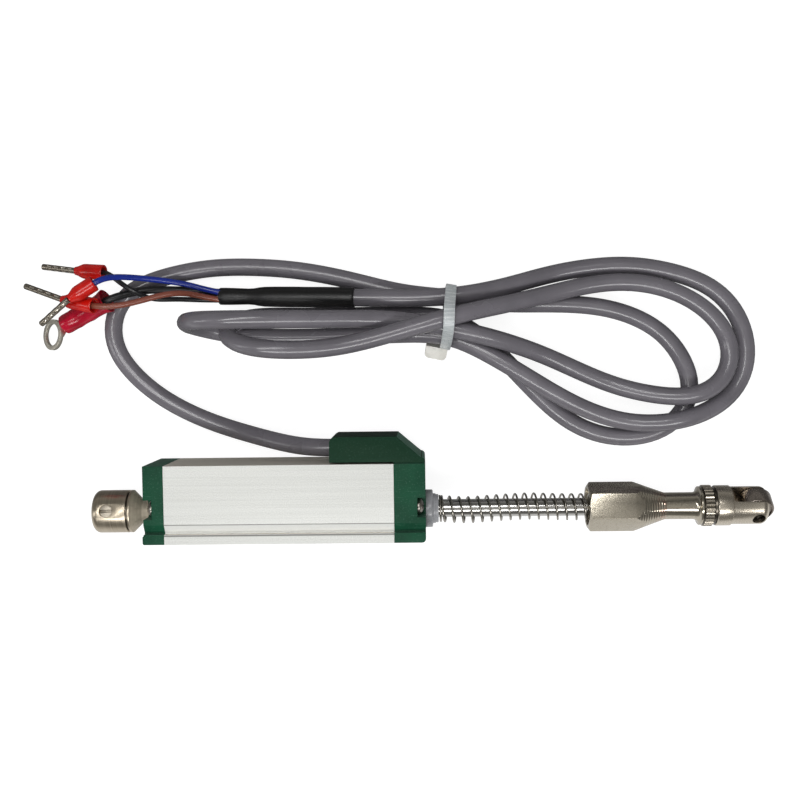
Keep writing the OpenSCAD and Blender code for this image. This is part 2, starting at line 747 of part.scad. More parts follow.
// Three leads from the board's solder pins through the duct to the cable's end
module inner_leads() {
    lead_y = base_y + board_h + board_t + terminal_out + inner_lead_d / 2 + 0.03;
    duct_x = (tube_front_x + 0.6 + duct_front_x) / 2;
    spread = cable_d * 0.3;
    tones = ["#19327d", "#222222", "#823c2d"];
    for (i = [-1:1]) {
        z = mid_z + i * terminal_pitch;
        cable_side = cable_z + i * spread;
        route = [
            [spigot_front_x - terminal_back, lead_y, z], [duct_x - 0.4, lead_y, z],
            [duct_x, lead_y + 0.6, z], [duct_x, chamber_base_y + 0.3, z],
            [duct_x - 1.3, cable_y - 0.3, (z + cable_side) / 2],
            [duct_x - 4.5, cable_y, cable_side], [cable_start_x + 0.05, cable_y, cable_side]
        ];
        color(tones[i + 1]) tube_along(route, inner_lead_d / 2, 6);
    }
}

// Rod group

module push_rod() {
    color(steel) difference() {
        union() {
            axis_rod(rod_rear_x + 0.3, rod_front_x - rod_rear_x - 0.6, rod_d);
            on_axis(rod_rear_x) cylinder(h = 0.3, d1 = rod_d - 0.6, d2 = rod_d);
            on_axis(rod_front_x - 0.3) cylinder(h = 0.3, d1 = rod_d, d2 = rod_d - 0.6);
        }
        for (x = [carriage_rear_x - clip_t - 0.04, carriage_front_x + 0.02])
            on_axis(x) difference() {
                cylinder(h = clip_t + 0.02, d = rod_d + 1);
                translate([0, 0, -1]) cylinder(h = clip_t + 2, d = clip_groove_d);
            }
    }
}

// Turned rear stop: head with a rounded rear edge, groove, and a flare that runs into the neck
module rear_stop() {
    head_r = stop_d / 2;
    neck_r = stop_neck_d / 2;
    l = stop_l + stop_neck_l - touch_gap;
    rim_x = stop_l + stop_groove_w;
    rim_w = 0.4;
    flare = [
        for (a = [0:15:90])
            [head_r - (head_r - neck_r) * sin(a), rim_x + rim_w + (stop_flare_l - rim_w) * (1 - cos(a))]
    ];
    color(steel) difference() {
        on_axis(stop_rear_x) rotate([0, 0, 90]) rotate_extrude() union() {
            polygon(concat(
                [[0, 0], [head_r - stop_r, 0], [head_r - stop_r, stop_r], [head_r, stop_r],
                 [head_r, stop_l], [head_r - 0.6, stop_l], [head_r - 0.6, rim_x], [head_r, rim_x]],
                flare, [[neck_r, l], [0, l]]
            ));
            translate([head_r - stop_r, stop_r]) intersection() {
                circle(r = stop_r);
                translate([0, -stop_r]) square([stop_r, stop_r]);
            }
        }
        axis_rod(rod_rear_x - 0.05, l, rod_d + 2 * fit_gap);
        grub_place() cylinder(h = stop_d, d = grub_d + 2 * fit_gap);
    }
}

module grub_place() {
    translate([stop_rear_x + grub_x, axis_y, mid_z]) rotate([-clock_turn, 0, 0]) children();
}

module grub_screw() {
    seat = rod_d / 2 + 0.02;
    l = stop_d / 2 - seat - 0.3;
    color(steel) grub_place() translate([0, 0, seat]) difference() {
        union() {
            cylinder(h = 0.3, d1 = grub_d - 0.6, d2 = grub_d);
            translate([0, 0, 0.3]) cylinder(h = l - 0.3, d = grub_d);
        }
        translate([-grub_d, -0.25, l - 0.7]) cube([2 * grub_d, 0.5, 1]);
    }
}

// Spring cup: a hexagon with a turned seat, cone and shank, and the stud that carries the fork
module spring_cup() {
    corner_r = hex_af / sqrt(3);
    l = hex_l + cone_l + shank_l;
    fillet_r = (shoulder_d - shank_d) / 2;
    fillet = [
        for (a = [0:15:90])
            [shank_d / 2 + fillet_r * (1 - cos(a)), l - shoulder_w - fillet_r * (1 - sin(a))]
    ];
    color(nickel) difference() {
        union() {
            intersection() {
                on_axis(hex_x) rotate([0, 0, 90 - clock_turn])
                    cylinder(h = l, r = corner_r, $fn = 6);
                on_axis(hex_x) rotate_extrude() polygon(concat(
                    [[0, 0], [hex_af / 2 - 0.1, 0], [corner_r, 0.6], [corner_r, hex_l],
                     [shank_d / 2, hex_l + cone_l]],
                    fillet, [[shoulder_d / 2, l], [0, l]]
                ));
            }
            axis_rod(hex_x + l - eps, stud_l, stud_d);
        }
        axis_rod(hex_x - 1, cup_depth + 1, cup_d);
        axis_rod(hex_x, rod_front_x - hex_x + 0.3, rod_d + 2 * fit_gap);
    }
}

// Lock ring with a straight knurl
module lock_ring() {
    r = knurl_d / 2;
    depth = 0.3;
    w = knurl_w - turned_gap;
    step = 360 / knurl_teeth;
    points = [
        for (i = [0:knurl_teeth - 1])
            each [for (k = [[0, 0], [0.3, 0], [0.5, depth], [0.8, depth]])
                (r - k[1]) * [cos((i + k[0]) * step), sin((i + k[0]) * step)]]
    ];
    color(nickel) on_axis(lock_x + turned_gap / 2) difference() {
        union() {
            translate([0, 0, 0.3]) linear_extrude(w - 0.6) polygon(points);
            cylinder(h = 0.3, d1 = knurl_d - 1, d2 = knurl_d - 0.6);
            translate([0, 0, w - 0.3]) cylinder(h = 0.3, d1 = knurl_d - 0.6, d2 = knurl_d - 1);
        }
        translate([0, 0, -1]) cylinder(h = knurl_w + 2, d = stud_d + 2 * fit_gap);
    }
}

module at_pin() {
    translate([roller_x, axis_y, mid_z]) rotate([pin_turn, 0, 0]) children();
}

// Fork: groove, plain collar and two ears that a slot parts
module roller_fork() {
    er = ear_d / 2;
    fr = fork_d / 2;
    l = collar_l + ear_l;
    slot_l = pin_x - turned_gap;
    color(nickel) difference() {
        on_axis(fork_x) rotate_extrude() union() {
            polygon([
                [0, 0], [fr - 0.6, 0], [fr - 0.6, collar_groove_w], [fr - 0.15, collar_groove_w],
                [fr, collar_groove_w + 0.2], [fr, collar_l - 0.2], [er, collar_l],
                [er, l - 1.8], [er - 1.8, l], [0, l]
            ]);
            translate([er - 1.8, l - 1.8]) circle(r = 1.8);
        }
        axis_rod(fork_x - 1, stud_l - knurl_w + 1.1, stud_d + 2 * fit_gap);
        at_pin() {
            translate([-slot_l, -ear_d, -roller_w / 2 - roller_side_gap])
                cube([slot_l + ear_d, 2 * ear_d, roller_w + 2 * roller_side_gap]);
            cylinder(h = 2 * ear_d, d = pin_d + 2 * fit_gap, center = true);
        }
    }
}

module roller_pin() {
    l = ear_d - 2 * pin_recess;
    color(steel) at_pin() {
        translate([0, 0, -l / 2 + 0.3]) cylinder(h = l - 0.6, d = pin_d);
        for (side = [0, 180]) rotate([side, 0, 0])
            translate([0, 0, l / 2 - 0.3]) cylinder(h = 0.3, d1 = pin_d, d2 = pin_d - 0.6);
    }
}

// Carriage: a block on the rod with a cross bar that carries the wipers
module wiper_carriage() {
    low = floor_t + carriage_gap;
    bar_h = channel_h + carriage_gap;
    color("#e9e4d2") difference() {
        union() {
            extrude_x(carriage_rear_x, carriage_l)
                band(low, bar_h + bar_t / 2, channel_half_w - carriage_gap);
            extrude_x(carriage_rear_x + 1, carriage_l - 2)
                band(bar_h, bar_h + bar_t, slot_half_w - carriage_gap);
        }
        axis_rod(carriage_rear_x - 1, carriage_l + 2, rod_d + 2 * fit_gap);
    }
}

// Wiper springs: fingers that rise from the carriage's bar to the tracks
module wiper_springs() {
    bar_top = bar_top_h + wiper_seat;
    rise = finger_h;
    foot = 2.4;
    reach = 6;
    pitch = finger_w + 0.3;
    color("#d9c37a") for (side = [-1, 1]) {
        translate([carriage_x - 1.2, base_y + bar_top,
                   mid_z + side * track_off - (finger_count * pitch - 0.3) / 2]) {
            cube([foot, finger_t, finger_count * pitch - 0.3]);
            for (i = [0:finger_count - 1]) translate([foot - 0.2, 0, i * pitch])
                linear_extrude(finger_w) polygon([
                    [0, 0], [0.4, 0], [reach - 1.2, rise - finger_t - 0.15],
                    [reach - 0.7, rise - finger_t], [reach, rise - finger_t - 0.5],
                    [reach, rise - 0.45], [reach - 0.6, rise], [reach - 1.1, rise],
                    [0.2, finger_t + 0.05], [0, finger_t]
                ]);
        }
    }
}

// Circlips beside the carriage, each open at one side
module carriage_circlips() {
    color(steel) for (x = [carriage_rear_x - clip_t - 0.03, carriage_front_x + 0.03])
        on_axis(x) difference() {
            cylinder(h = clip_t, d = rod_d + 1.8);
            translate([0, 0, -1]) cylinder(h = clip_t + 2, d = clip_groove_d + 2 * fit_gap);
            translate([0, -0.8, -1]) cube([rod_d, 1.6, clip_t + 2]);
        }
}

// Roller: a small ball bearing

ball_path_r = (inner_ring_d + outer_ring_d) / 4;
race_r = ball_d / 2 + 0.05;

module roller_inner_ring() {
    color(steel) at_pin() rotate_extrude() difference() {
        translate([pin_d / 2 + fit_gap, -roller_w / 2])
            square([inner_ring_d / 2 - pin_d / 2 - fit_gap, roller_w]);
        translate([ball_path_r, 0]) circle(r = race_r, $fn = 32);
    }
}

module roller_outer_ring() {
    r = roller_d / 2;
    c = 0.25;
    color("#cfcdc6") at_pin() rotate_extrude() difference() {
        polygon([
            [outer_ring_d / 2, -roller_w / 2 + 0.6], [outer_ring_d / 2 + 0.2, -roller_w / 2 + 0.6],
            [outer_ring_d / 2 + 0.2, -roller_w / 2], [r - c, -roller_w / 2],
            [r, -roller_w / 2 + c], [r, roller_w / 2 - c], [r - c, roller_w / 2],
            [outer_ring_d / 2 + 0.2, roller_w / 2], [outer_ring_d / 2 + 0.2, roller_w / 2 - 0.6],
            [outer_ring_d / 2, roller_w / 2 - 0.6]
        ]);
        translate([ball_path_r, 0]) circle(r = race_r, $fn = 32);
    }
}

module roller_balls() {
    color(steel) at_pin() for (i = [0:ball_count - 1]) rotate(i * 360 / ball_count)
        translate([ball_path_r, 0, 0]) sphere(d = ball_d, $fn = 24);
}

module roller_shields() {
    color("#b0aea8") at_pin() for (side = [-1, 1])
        translate([0, 0, side * (roller_w / 2 - 0.45) - 0.1]) difference() {
            cylinder(h = 0.2, r = outer_ring_d / 2 + 0.18);
            translate([0, 0, -1]) cylinder(h = 2, r = inner_ring_d / 2 + 0.1);
        }
}

// Return spring: open turns between two closed end turns
module return_spring() {
    turn_steps = 14;
    n = spring_turns * turn_steps;
    coil_r = spring_od / 2 - wire_d / 2;
    span = spring_l - 2 * touch_gap - wire_d;
    closed = 1.2;
    open_pitch = (span - 2 * closed * wire_d) / (spring_turns - 2 * closed);
    function rise(t) = t < closed ? t * wire_d
        : t > spring_turns - closed ? span - (spring_turns - t) * wire_d
        : closed * wire_d + (t - closed) * open_pitch;
    path = [
        for (i = [0:n]) let (t = i / turn_steps)
            [nose_x + touch_gap + wire_d / 2 + rise(t),
             axis_y + coil_r * cos(360 * t), mid_z + coil_r * sin(360 * t)]
    ];
    color(steel) tube_along(path, wire_d / 2 - 0.01, 6);
}

// Cable and leads

module cable() {
    color(cable_grey) tube_along(cable_route, cable_d / 2, 8);
}

// Heat-shrink sleeve with a shoulder where the cable ends inside it
module heat_shrink() {
    r = shrink_d / 2;
    tail = shrink_tail_d / 2;
    color(seal_black) aim(shrink_from, shrink_from + shrink_dir) rotate_extrude() polygon([
        [0, 0.02], [r - 0.3, 0.02], [r, 0.3], [r, shrink_body_l - 1.2], [tail, shrink_body_l + 1.2],
        [tail, shrink_l - 0.2], [tail - 0.2, shrink_l], [0, shrink_l]
    ]);
}

// A point of the cable's route in the tie's plane: along the cable, across the bundle and up
function in_tie(p) = let (d = p - tie_at)
    [d[0] * cos(tie_lean) - d[1] * sin(tie_lean), d[0] * sin(tie_lean) + d[1] * cos(tie_lean), d[2]];

// Where the cable's strands pass the two edges of the tie
tie_strands = [
    for (edge = [-tie_w / 2, tie_w / 2], i = [0:len(cable_route) - 2])
        let (a = in_tie(cable_route[i]), b = in_tie(cable_route[i + 1]), t = (edge - a[0]) / (b[0] - a[0]))
        if (t >= 0 && t < 1) [a[1] + t * (b[1] - a[1]), a[2] + t * (b[2] - a[2])]
];

module in_tie_plane() {
    translate(tie_at) rotate([0, 0, -tie_lean]) children();
}

// Outline of the tied strands, grown by g, along the cable over the length l
module bundle(g, l) {
    translate([-l / 2, 0, 0]) rotate([90, 0, 90]) linear_extrude(l) hull()
        for (s = tie_strands) translate(s) circle(d = cable_d + 2 * g, $fn = 24);
}

module tie_strap() {
    color(tie_white) in_tie_plane() difference() {
        bundle(tie_gap + tie_t, tie_w);
        bundle(tie_gap, tie_w + 1);
    }
}

// Tie head with its pawl window, seated on the strap at the foot of the bundle
module tie_head() {
    w = 5.2;
    h = 4.2;
    r = 1.1;
    color(tie_white) in_tie_plane() difference() {
        translate([-1.9 - w / 2, -11.2, 0.3]) linear_extrude(3.3) translate([r, r]) offset(r = r)
            square([w - 2 * r, h - 2 * r]);
        bundle(tie_gap + tie_t + 2 * fit_gap, 2 * w + 6);
        translate([-3.1, -11.8, 1.4]) cube([2.4, 1.6, 1.2]);
    }
}

module lead(route, d, tone) {
    color(tone) tube_along(route, d / 2, 6);
}

module blue_lead() {
    lead(blue_route, lead_d, "#19327d");
}

module black_lead() {
    lead(black_route, thin_lead_d, "#1c1c1e");
}

module brown_lead() {
    lead(brown_route, lead_d, "#823c2d");
}

module screen_lead() {
    lead(screen_route, screen_d, "#141414");
}

// Ferrule collar: a funnel mouth, a round body and a tapered throat that holds the pin
module ferrule_collars() {
    r = collar_d / 2;
    throat = ferrule_d / 2 + 0.35;
    color(ferrule_red) for (f = ferrules) {
        l = norm(f[1] - f[0]);
        difference() {
            aim(f[0], f[1]) rotate_extrude() polygon([
                [0, 0.7], [r - 0.5, 0.7], [r - 0.2, 0], [r, 0], [r, l - 2.4], [throat, l - 0.5],
                [throat, l], [0, l]
            ]);
            aim(f[1], f[2]) translate([0, 0, -pin_seat])
                cylinder(h = pin_seat + 1, d = ferrule_d + 2 * fit_gap);
        }
    }
}

// Ferrule pin: a tube with rings pressed into it
module ferrule_pins() {
    r = ferrule_d / 2;
    dents = 4;
    color(nickel) for (f = ferrules) {
        l = norm(f[2] - f[1]);
        pitch = (l - 1.6) / dents;
        dent_points = [
            for (i = [0:dents - 1]) let (x = 0.8 + i * pitch)
                each [[r, x], [r - 0.15, x + pitch * 0.25], [r - 0.15, x + pitch * 0.6],
                      [r, x + pitch * 0.85]]
        ];
        aim(f[1], f[2]) rotate_extrude()
            polygon(concat(
                [[0, fit_gap - pin_seat], [r, fit_gap - pin_seat]], dent_points,
                [[r, l], [r - 0.3, l], [r - 0.3, l - 0.8], [0, l - 0.8]]
            ));
    }
}

// Children in the plane of the ring terminal's eye, with +X towards its sleeve
module lug_plane() {
    back = lug_to - lug_eye;
    translate(lug_eye) rotate([0, -lug_pitch, atan2(back[1], back[0])])
        rotate([lug_roll, 0, 0]) children();
}

// Flat root of the ring terminal in its sleeve, from z0 to z1 behind the sleeve's end
module lug_root(z0, z1, g = 0) {
    aim(lug_to, lug_from) translate([-lug_t / 2 - g, -lug_root_w / 2 - g, z0])
        cube([lug_t + 2 * g, lug_root_w + 2 * g, z1 - z0]);
}

module ring_terminal() {
    tail_x = lug_hole_d / 2 + 0.35;
    color(nickel) {
        difference() {
            union() {
                lug_plane() translate([0, 0, -lug_t / 2]) cylinder(h = lug_t, d = lug_d);
                hull() {
                    lug_plane() translate([tail_x, -1.9, -lug_t / 2]) cube([0.5, 3.8, lug_t]);
                    lug_root(-0.35, -0.25);
                }
                lug_root(-0.3, 1);
            }
            lug_plane() translate([0, 0, -lug_t]) cylinder(h = 2 * lug_t, d = lug_hole_d);
        }
    }
}

module ring_terminal_sleeve() {
    r = lug_sleeve_d / 2;
    l = norm(lug_to - lug_from);
    color(lug_red) difference() {
        aim(lug_from, lug_to) rotate_extrude() polygon([
            [0, 0.8], [r - 0.2, 0.8], [r + 0.3, 0], [r + 0.5, 0.1], [r, 1.6], [r, l - 0.8],
            [r - 0.4, l - 0.1], [0, l - 0.1]
        ]);
        lug_root(-1, 1 + fit_gap, fit_gap);
    }
}

housing_tube();
rear_cap();
front_cap();
rear_seal();
front_seal();
rear_bush();
front_bush();
rear_cap_screws();
front_cap_screws();
track_board();
resistive_track();
collector_track();
board_terminals();
inner_leads();
push_rod();
rear_stop();
grub_screw();
spring_cup();
lock_ring();
roller_fork();
roller_pin();
wiper_carriage();
wiper_springs();
carriage_circlips();
roller_inner_ring();
roller_outer_ring();
roller_balls();
roller_shields();
return_spring();
cable();
heat_shrink();
tie_strap();
tie_head();
blue_lead();
black_lead();
brown_lead();
screen_lead();
ferrule_collars();
ferrule_pins();
ring_terminal();
ring_terminal_sleeve();
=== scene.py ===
"""Dresses a spring-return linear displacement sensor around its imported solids.

The sensor lies on its side: the push rod runs along X, the base flange faces -Y and the floor is
Z = 0. Lengths in the classes are in millimetres and become metres where a mesh is made.
"""

from __future__ import annotations

import json
import logging
import math
from contextlib import contextmanager
from dataclasses import dataclass
from enum import Enum
from typing import Callable, Iterable, Iterator, Sequence

import bmesh
import bpy
from mathutils import Matrix, Quaternion, Vector

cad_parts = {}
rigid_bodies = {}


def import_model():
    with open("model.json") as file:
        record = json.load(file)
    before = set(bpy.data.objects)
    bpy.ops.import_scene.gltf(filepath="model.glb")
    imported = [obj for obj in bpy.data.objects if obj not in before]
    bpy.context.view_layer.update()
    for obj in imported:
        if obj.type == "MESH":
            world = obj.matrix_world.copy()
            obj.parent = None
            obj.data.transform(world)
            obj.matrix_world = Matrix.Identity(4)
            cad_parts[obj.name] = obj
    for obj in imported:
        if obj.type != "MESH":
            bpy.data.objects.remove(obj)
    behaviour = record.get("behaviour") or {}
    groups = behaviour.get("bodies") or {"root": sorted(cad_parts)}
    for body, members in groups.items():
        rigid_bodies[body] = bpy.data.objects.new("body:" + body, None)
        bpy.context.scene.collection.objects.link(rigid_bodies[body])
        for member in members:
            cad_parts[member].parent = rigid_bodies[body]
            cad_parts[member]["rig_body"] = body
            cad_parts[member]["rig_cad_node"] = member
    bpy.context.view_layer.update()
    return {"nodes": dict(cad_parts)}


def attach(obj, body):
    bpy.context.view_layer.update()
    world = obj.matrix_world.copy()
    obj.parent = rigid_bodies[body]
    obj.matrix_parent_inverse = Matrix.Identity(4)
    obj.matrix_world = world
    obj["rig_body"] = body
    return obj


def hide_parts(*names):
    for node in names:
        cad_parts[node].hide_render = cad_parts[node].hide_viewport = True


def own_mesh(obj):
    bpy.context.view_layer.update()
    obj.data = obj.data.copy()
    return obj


LOG = logging.getLogger("sensor")
MM = 0.001
AXIS_Y, AXIS_Z = -2.5, 9.0  # line of the push rod, in millimetres
Point = tuple[float, float, float]
Colour = tuple[float, float, float]
Span = tuple[float, float]
MERGE = 0.001  # points nearer than this are one, in millimetres
WHITE: Colour = (255, 255, 255)


# ---------------------------------------------------------------------------------------------
# Shader graph
# ---------------------------------------------------------------------------------------------


class Wire:
    """One output of a shader node, on which arithmetic adds Math nodes."""

    def __init__(self, graph: "Nodes", socket: bpy.types.NodeSocket) -> None:
        """Holds the socket and the tree that it belongs to."""
        self.graph = graph
        self.socket = socket

    def _math(self, operation: str, first: object, second: object = 0.0) -> "Wire":
        """Result of a Math node on two values or wires."""
        return self.graph.wire("ShaderNodeMath", {"operation": operation}, {0: first, 1: second})

    def __add__(self, other: object) -> "Wire":
        """Sum of this and other."""
        return self._math("ADD", self, other)

    __radd__ = __add__

    def __sub__(self, other: object) -> "Wire":
        """This less other."""
        return self._math("SUBTRACT", self, other)

    def __rsub__(self, other: object) -> "Wire":
        """Other less this."""
        return self._math("SUBTRACT", other, self)

    def __mul__(self, other: object) -> "Wire":
        """Product of this and other."""
        return self._math("MULTIPLY", self, other)

    __rmul__ = __mul__

    def root(self) -> "Wire":
        """Square root of this."""
        return self._math("POWER", self, 0.5)

    def above(self, edge: float) -> "Wire":
        """One where this is greater than edge, and zero elsewhere."""
        return self._math("GREATER_THAN", self, edge)

    def below(self, edge: float) -> "Wire":
        """One where this is less than edge, and zero elsewhere."""
        return self._math("LESS_THAN", self, edge)

    def within(self, span: Span) -> "Wire":
        """One where this lies between the ends of span, and zero elsewhere."""
        return self.above(span[0]) * self.below(span[1])

    def larger(self, other: "Wire") -> "Wire":
        """The larger of this and other."""
        return self._math("MAXIMUM", self, other)

    def sine(self) -> "Wire":
        """Sine of this."""
        return self._math("SINE", self)

    def size(self) -> "Wire":
        """Absolute value of this."""
        return self._math("ABSOLUTE", self)

    def spread(self, low: float, high: float, to_low: float = 0.0, to_high: float = 1.0) -> "Wire":
        """Maps a range of this onto another range, clamped at both ends.

        Args:
            low: value that becomes to_low.
            high: value that becomes to_high.
            to_low: result at low.
            to_high: result at high.

        Returns:
            The mapped wire.
        """
        ends = {"From Min": low, "From Max": high, "To Min": to_low, "To Max": to_high}
        settings = {"clamp": True}
        return self.graph.wire("ShaderNodeMapRange", settings, {"Value": self, **ends}, "Result")


class Nodes:
    """The node tree of a material or of the world."""

    def __init__(self, owner: bpy.types.Material | bpy.types.World) -> None:
        """Empties the node tree of owner.

        Args:
            owner: the material or the world.
        """
        owner.use_nodes = True
        self.tree = owner.node_tree
        self.tree.nodes.clear()

    def node(self, kind: str, settings: dict, values: dict) -> bpy.types.Node:
        """Adds a node.

        Args:
            kind: the node's type.
            settings: attributes that are set first, and the stops of a ramp.
            values: numbers, colours or wires for its inputs, by name or place.

        Returns:
            The new node.
        """
        made = self.tree.nodes.new(kind)
        for key, value in settings.items():
            if key == "stops":
                set_stops(made.color_ramp, value)
            else:
                setattr(made, key, value)
        for key, value in values.items():
            self.feed(made.inputs[key], value)
        return made

    def wire(self, kind: str, settings: dict, values: dict, output: int | str = 0) -> Wire:
        """Adds a node as node does, and gives one of its outputs."""
        return Wire(self, self.node(kind, settings, values).outputs[output])

    def feed(self, socket: bpy.types.NodeSocket, value: object) -> None:
        """Links a wire to an input, or sets a value on it.

        Args:
            socket: the input.
            value: a wire, a number, a place, or a colour written as on screen.
        """
        if isinstance(value, Wire):
            self.tree.links.new(value.socket, socket)
        elif socket.type == "RGBA":
            socket.default_value = rgba(value)
        else:
            socket.default_value = value

    def rays(self) -> tuple[Wire, Wire, Wire]:
        """Wires that are one for the camera's rays, for mirrored rays and for refracted rays.

        Returns:
            The three wires.
        """
        path = self.node("ShaderNodeLightPath", {}, {})
        kinds = ("Is Camera Ray", "Is Glossy Ray", "Is Transmission Ray")
        return tuple(Wire(self, path.outputs[kind]) for kind in kinds)


class Graph(Nodes):
    """The node tree of one material, with its Principled shader."""

    def __init__(self, name: str) -> None:
        """Makes an empty material.

        Args:
            name: the material's name.
        """
        self.material = bpy.data.materials.new(name)
        super().__init__(self.material)
        self.out = self.node("ShaderNodeOutputMaterial", {}, {})
        self.shader = self.node("ShaderNodeBsdfPrincipled", {}, {})
        self.feed(self.out.inputs[0], Wire(self, self.shader.outputs[0]))
        self._place: Wire | None = None

    def place(self) -> Wire:
        """Object coordinates, from one node for the whole material.

        Returns:
            The coordinates in metres.
        """
        if self._place is None:
            self._place = self.wire("ShaderNodeTexCoord", {}, {}, "Object")
        return self._place

    def axis(self, letter: str) -> Wire:
        """Object coordinate X, Y or Z, in millimetres."""
        return self.wire("ShaderNodeSeparateXYZ", {}, {0: self.place()}, letter) * (1.0 / MM)

    def facing(self, letter: str, output: str = "Normal") -> Wire:
        """X, Y or Z of the surface's Normal, or of the True Normal of each flat facet."""
        normal = self.wire("ShaderNodeNewGeometry", {}, {}, output)
        return self.wire("ShaderNodeSeparateXYZ", {}, {0: normal}, letter)

    def noise(self, size: float, detail: float = 3.0, squeeze: Point | None = None) -> Wire:
        """Noise whose grains are about size millimetres across.

        Args:
            size: grain size.
            detail: number of finer layers.
            squeeze: factor by which the grains are squeezed along each axis.

        Returns:
            Noise about 0.5.
        """
        place = self.place()
        if squeeze is not None:
            place = self.wire("ShaderNodeMapping", {}, {"Vector": place, "Scale": squeeze})
        values = {"Vector": place, "Scale": 1.0 / (size * MM), "Detail": detail}
        return self.wire("ShaderNodeTexNoise", {}, values, "Fac")

    def mix(self, share: object, first: object, second: object) -> Wire:
        """Blend of two colours with share of the second."""
        values = {0: share, 6: first, 7: second}
        return self.wire("ShaderNodeMix", {"data_type": "RGBA"}, values, 2)

    def bump(self, height: Wire, depth: float, strength: float = 1.0) -> Wire:
        """Normal changed by relief with a height from 0 to 1 and a depth in millimetres."""
        values = {"Strength": strength, "Distance": depth * MM, "Height": height}
        return self.wire("ShaderNodeBump", {}, values)

    def dress(self, **inputs: object) -> None:
        """Feeds inputs of the shader by name, with underscores for spaces.

        Args:
            inputs: a number, colour or wire for each input.
        """
        for key, value in inputs.items():
            self.feed(self.shader.inputs[key.replace("_", " ")], value)


def set_stops(ramp: bpy.types.ColorRamp, stops: Sequence[tuple[float, Sequence[float]]]) -> None:
    """Sets the stops of a ramp.

    Args:
        ramp: a new ramp, which has two stops.
        stops: place and linear colour of each stop.
    """
    for number, (place, colour) in enumerate(stops):
        stop = ramp.elements[number] if number < 2 else ramp.elements.new(place)
        stop.position = place
        stop.color = colour


def rgba(colour: Sequence[float]) -> tuple[float, float, float, float]:
    """Turns a colour written as on screen, from 0 to 255, into linear light.

    Args:
        colour: red, green and blue.

    Returns:
        The linear colour with full alpha.
    """

    def linear(value: float) -> float:
        """One channel in linear light."""
        v = value / 255.0
        return v / 12.92 if v <= 0.04045 else ((v + 0.055) / 1.055) ** 2.4

    return (linear(colour[0]), linear(colour[1]), linear(colour[2]), 1.0)


def dark(colour: Colour, factor: float) -> Colour:
    """A colour made darker by a factor below 1, or lighter by one above 1."""
    return tuple(min(255.0, channel * factor) for channel in colour)


# ---------------------------------------------------------------------------------------------
# Finishes
# ---------------------------------------------------------------------------------------------


class Grain(Enum):
    """How a metal piece was worked: size of its marks in millimetres and their finer layers."""

    GROUND = (0.3, 3.0)
    FROSTED = (0.18, 2.0)


@dataclass(frozen=True)
class Finish:
    """A finish that makes its material once."""

    name: str

    def material(self) -> bpy.types.Material:
        """The finish's material, made on first use.

        Returns:
            The material.
        """
        name = "finish_" + self.name
        found = bpy.data.materials.get(name)
        if found is not None:
            return found
        graph = Graph(name)
        self.paint(graph)
        return graph.material

    def paint(self, graph: Graph) -> None:
        """Builds the material's nodes.

        Args:
            graph: the material's empty graph.
        """
        raise NotImplementedError


@dataclass(frozen=True)
class MouldedPlastic(Finish):
    """Moulded plastic with a spark-eroded grain, lighter rubbed spots and a few fine scratches, and
    on a cap with an outlet, painted light on some of its faces.
    """

    tint: Colour = (14, 68, 46)
    # lighter colour of rubbed spots, and of the painted light on the outlet's sloped faces and the
    # cap's narrow face
    pale: Colour = (84, 124, 106)
    grain: float = 0.22
    depth: float = 0.02
    gloss: float = 0.5
    worn: float = 0.5
    shine: float = 0.16
    outlet_past: float | None = None
    outlet_tint: Colour = (4, 46, 26)

    def paint(self, graph: Graph) -> None:
        """Builds the nodes of the grained plastic.

        Args:
            graph: the material's empty graph.
        """
        fine = graph.noise(self.grain, 2.0)
        broad = graph.noise(6.0, 3.0)
        dust = graph.noise(self.grain * 1.7, 1.0).spread(0.58, 0.72)
        scratch = graph.noise(0.35, 1.0, (0.05, 1.0, 1.0)).spread(0.69, 0.72)
        colour = graph.mix(broad.spread(0.3, 0.7), dark(self.tint, 0.9), dark(self.tint, 1.1))
        rubbed = dust * (0.35 * self.worn) + scratch * (0.25 * self.worn)
        if self.outlet_past is not None:
            outlet = graph.axis("Y").above(self.outlet_past)
            rubbed = rubbed * (1.0 - outlet * 0.6)
            colour = self.outlet_colour(graph, outlet, colour)
        colour = graph.mix(rubbed, colour, self.pale)
        graph.dress(
            Base_Color=colour,
            Roughness=fine.spread(0.2, 0.8, self.gloss - 0.08, self.gloss + 0.1),
            Normal=graph.bump(fine, self.depth, 0.6),
            Specular_IOR_Level=self.shine,
        )

    def outlet_colour(self, graph: Graph, outlet: Wire, colour: Wire) -> Wire:
        """Darkens the cable outlet, and paints light on the outlet's sloped faces and on the cap's
        narrow face under it.

        Args:
            graph: the material's graph.
            outlet: one on the outlet and zero elsewhere.
            colour: the colour so far.

        Returns:
            The changed colour.
        """
        up = graph.facing("Y")
        # painted highlight: the outlet's faces that turn towards +X and +Y are made lighter
        lit_slope = outlet * graph.facing("X").above(0.25) * up.above(0.25)
        # painted light: the cap's +Y-facing narrow face is made lighter
        lit_narrow_face = up.above(0.6) * (1.0 - outlet)
        colour = graph.mix(outlet * 0.95, colour, self.outlet_tint)
        colour = graph.mix(lit_slope * 0.8, colour, self.pale)
        return graph.mix(lit_narrow_face * 0.45, colour, self.pale)


@dataclass(frozen=True)
class Metal(Finish):
    """Bare or plated metal with the marks of how it was worked."""

    tint: Colour = (190, 188, 182)
    shade: Colour = (150, 147, 140)
    grain: Grain = Grain.GROUND
    gloss: float = 0.2
    depth: float = 0.004

    def paint(self, graph: Graph) -> None:
        """Builds the nodes of the worked metal.

        Args:
            graph: the material's empty graph.
        """
        height = graph.noise(*self.grain.value)
        share = graph.noise(6.0, 2.0).spread(0.3, 0.7) * 0.3 + height.spread(0.3, 0.7) * 0.7
        graph.dress(
            Base_Color=graph.mix(share, self.shade, self.tint),
            Metallic=1.0,
            Roughness=height.spread(0.25, 0.75, self.gloss, self.gloss + 0.1),
            Normal=graph.bump(height, self.depth, 0.5),
        )


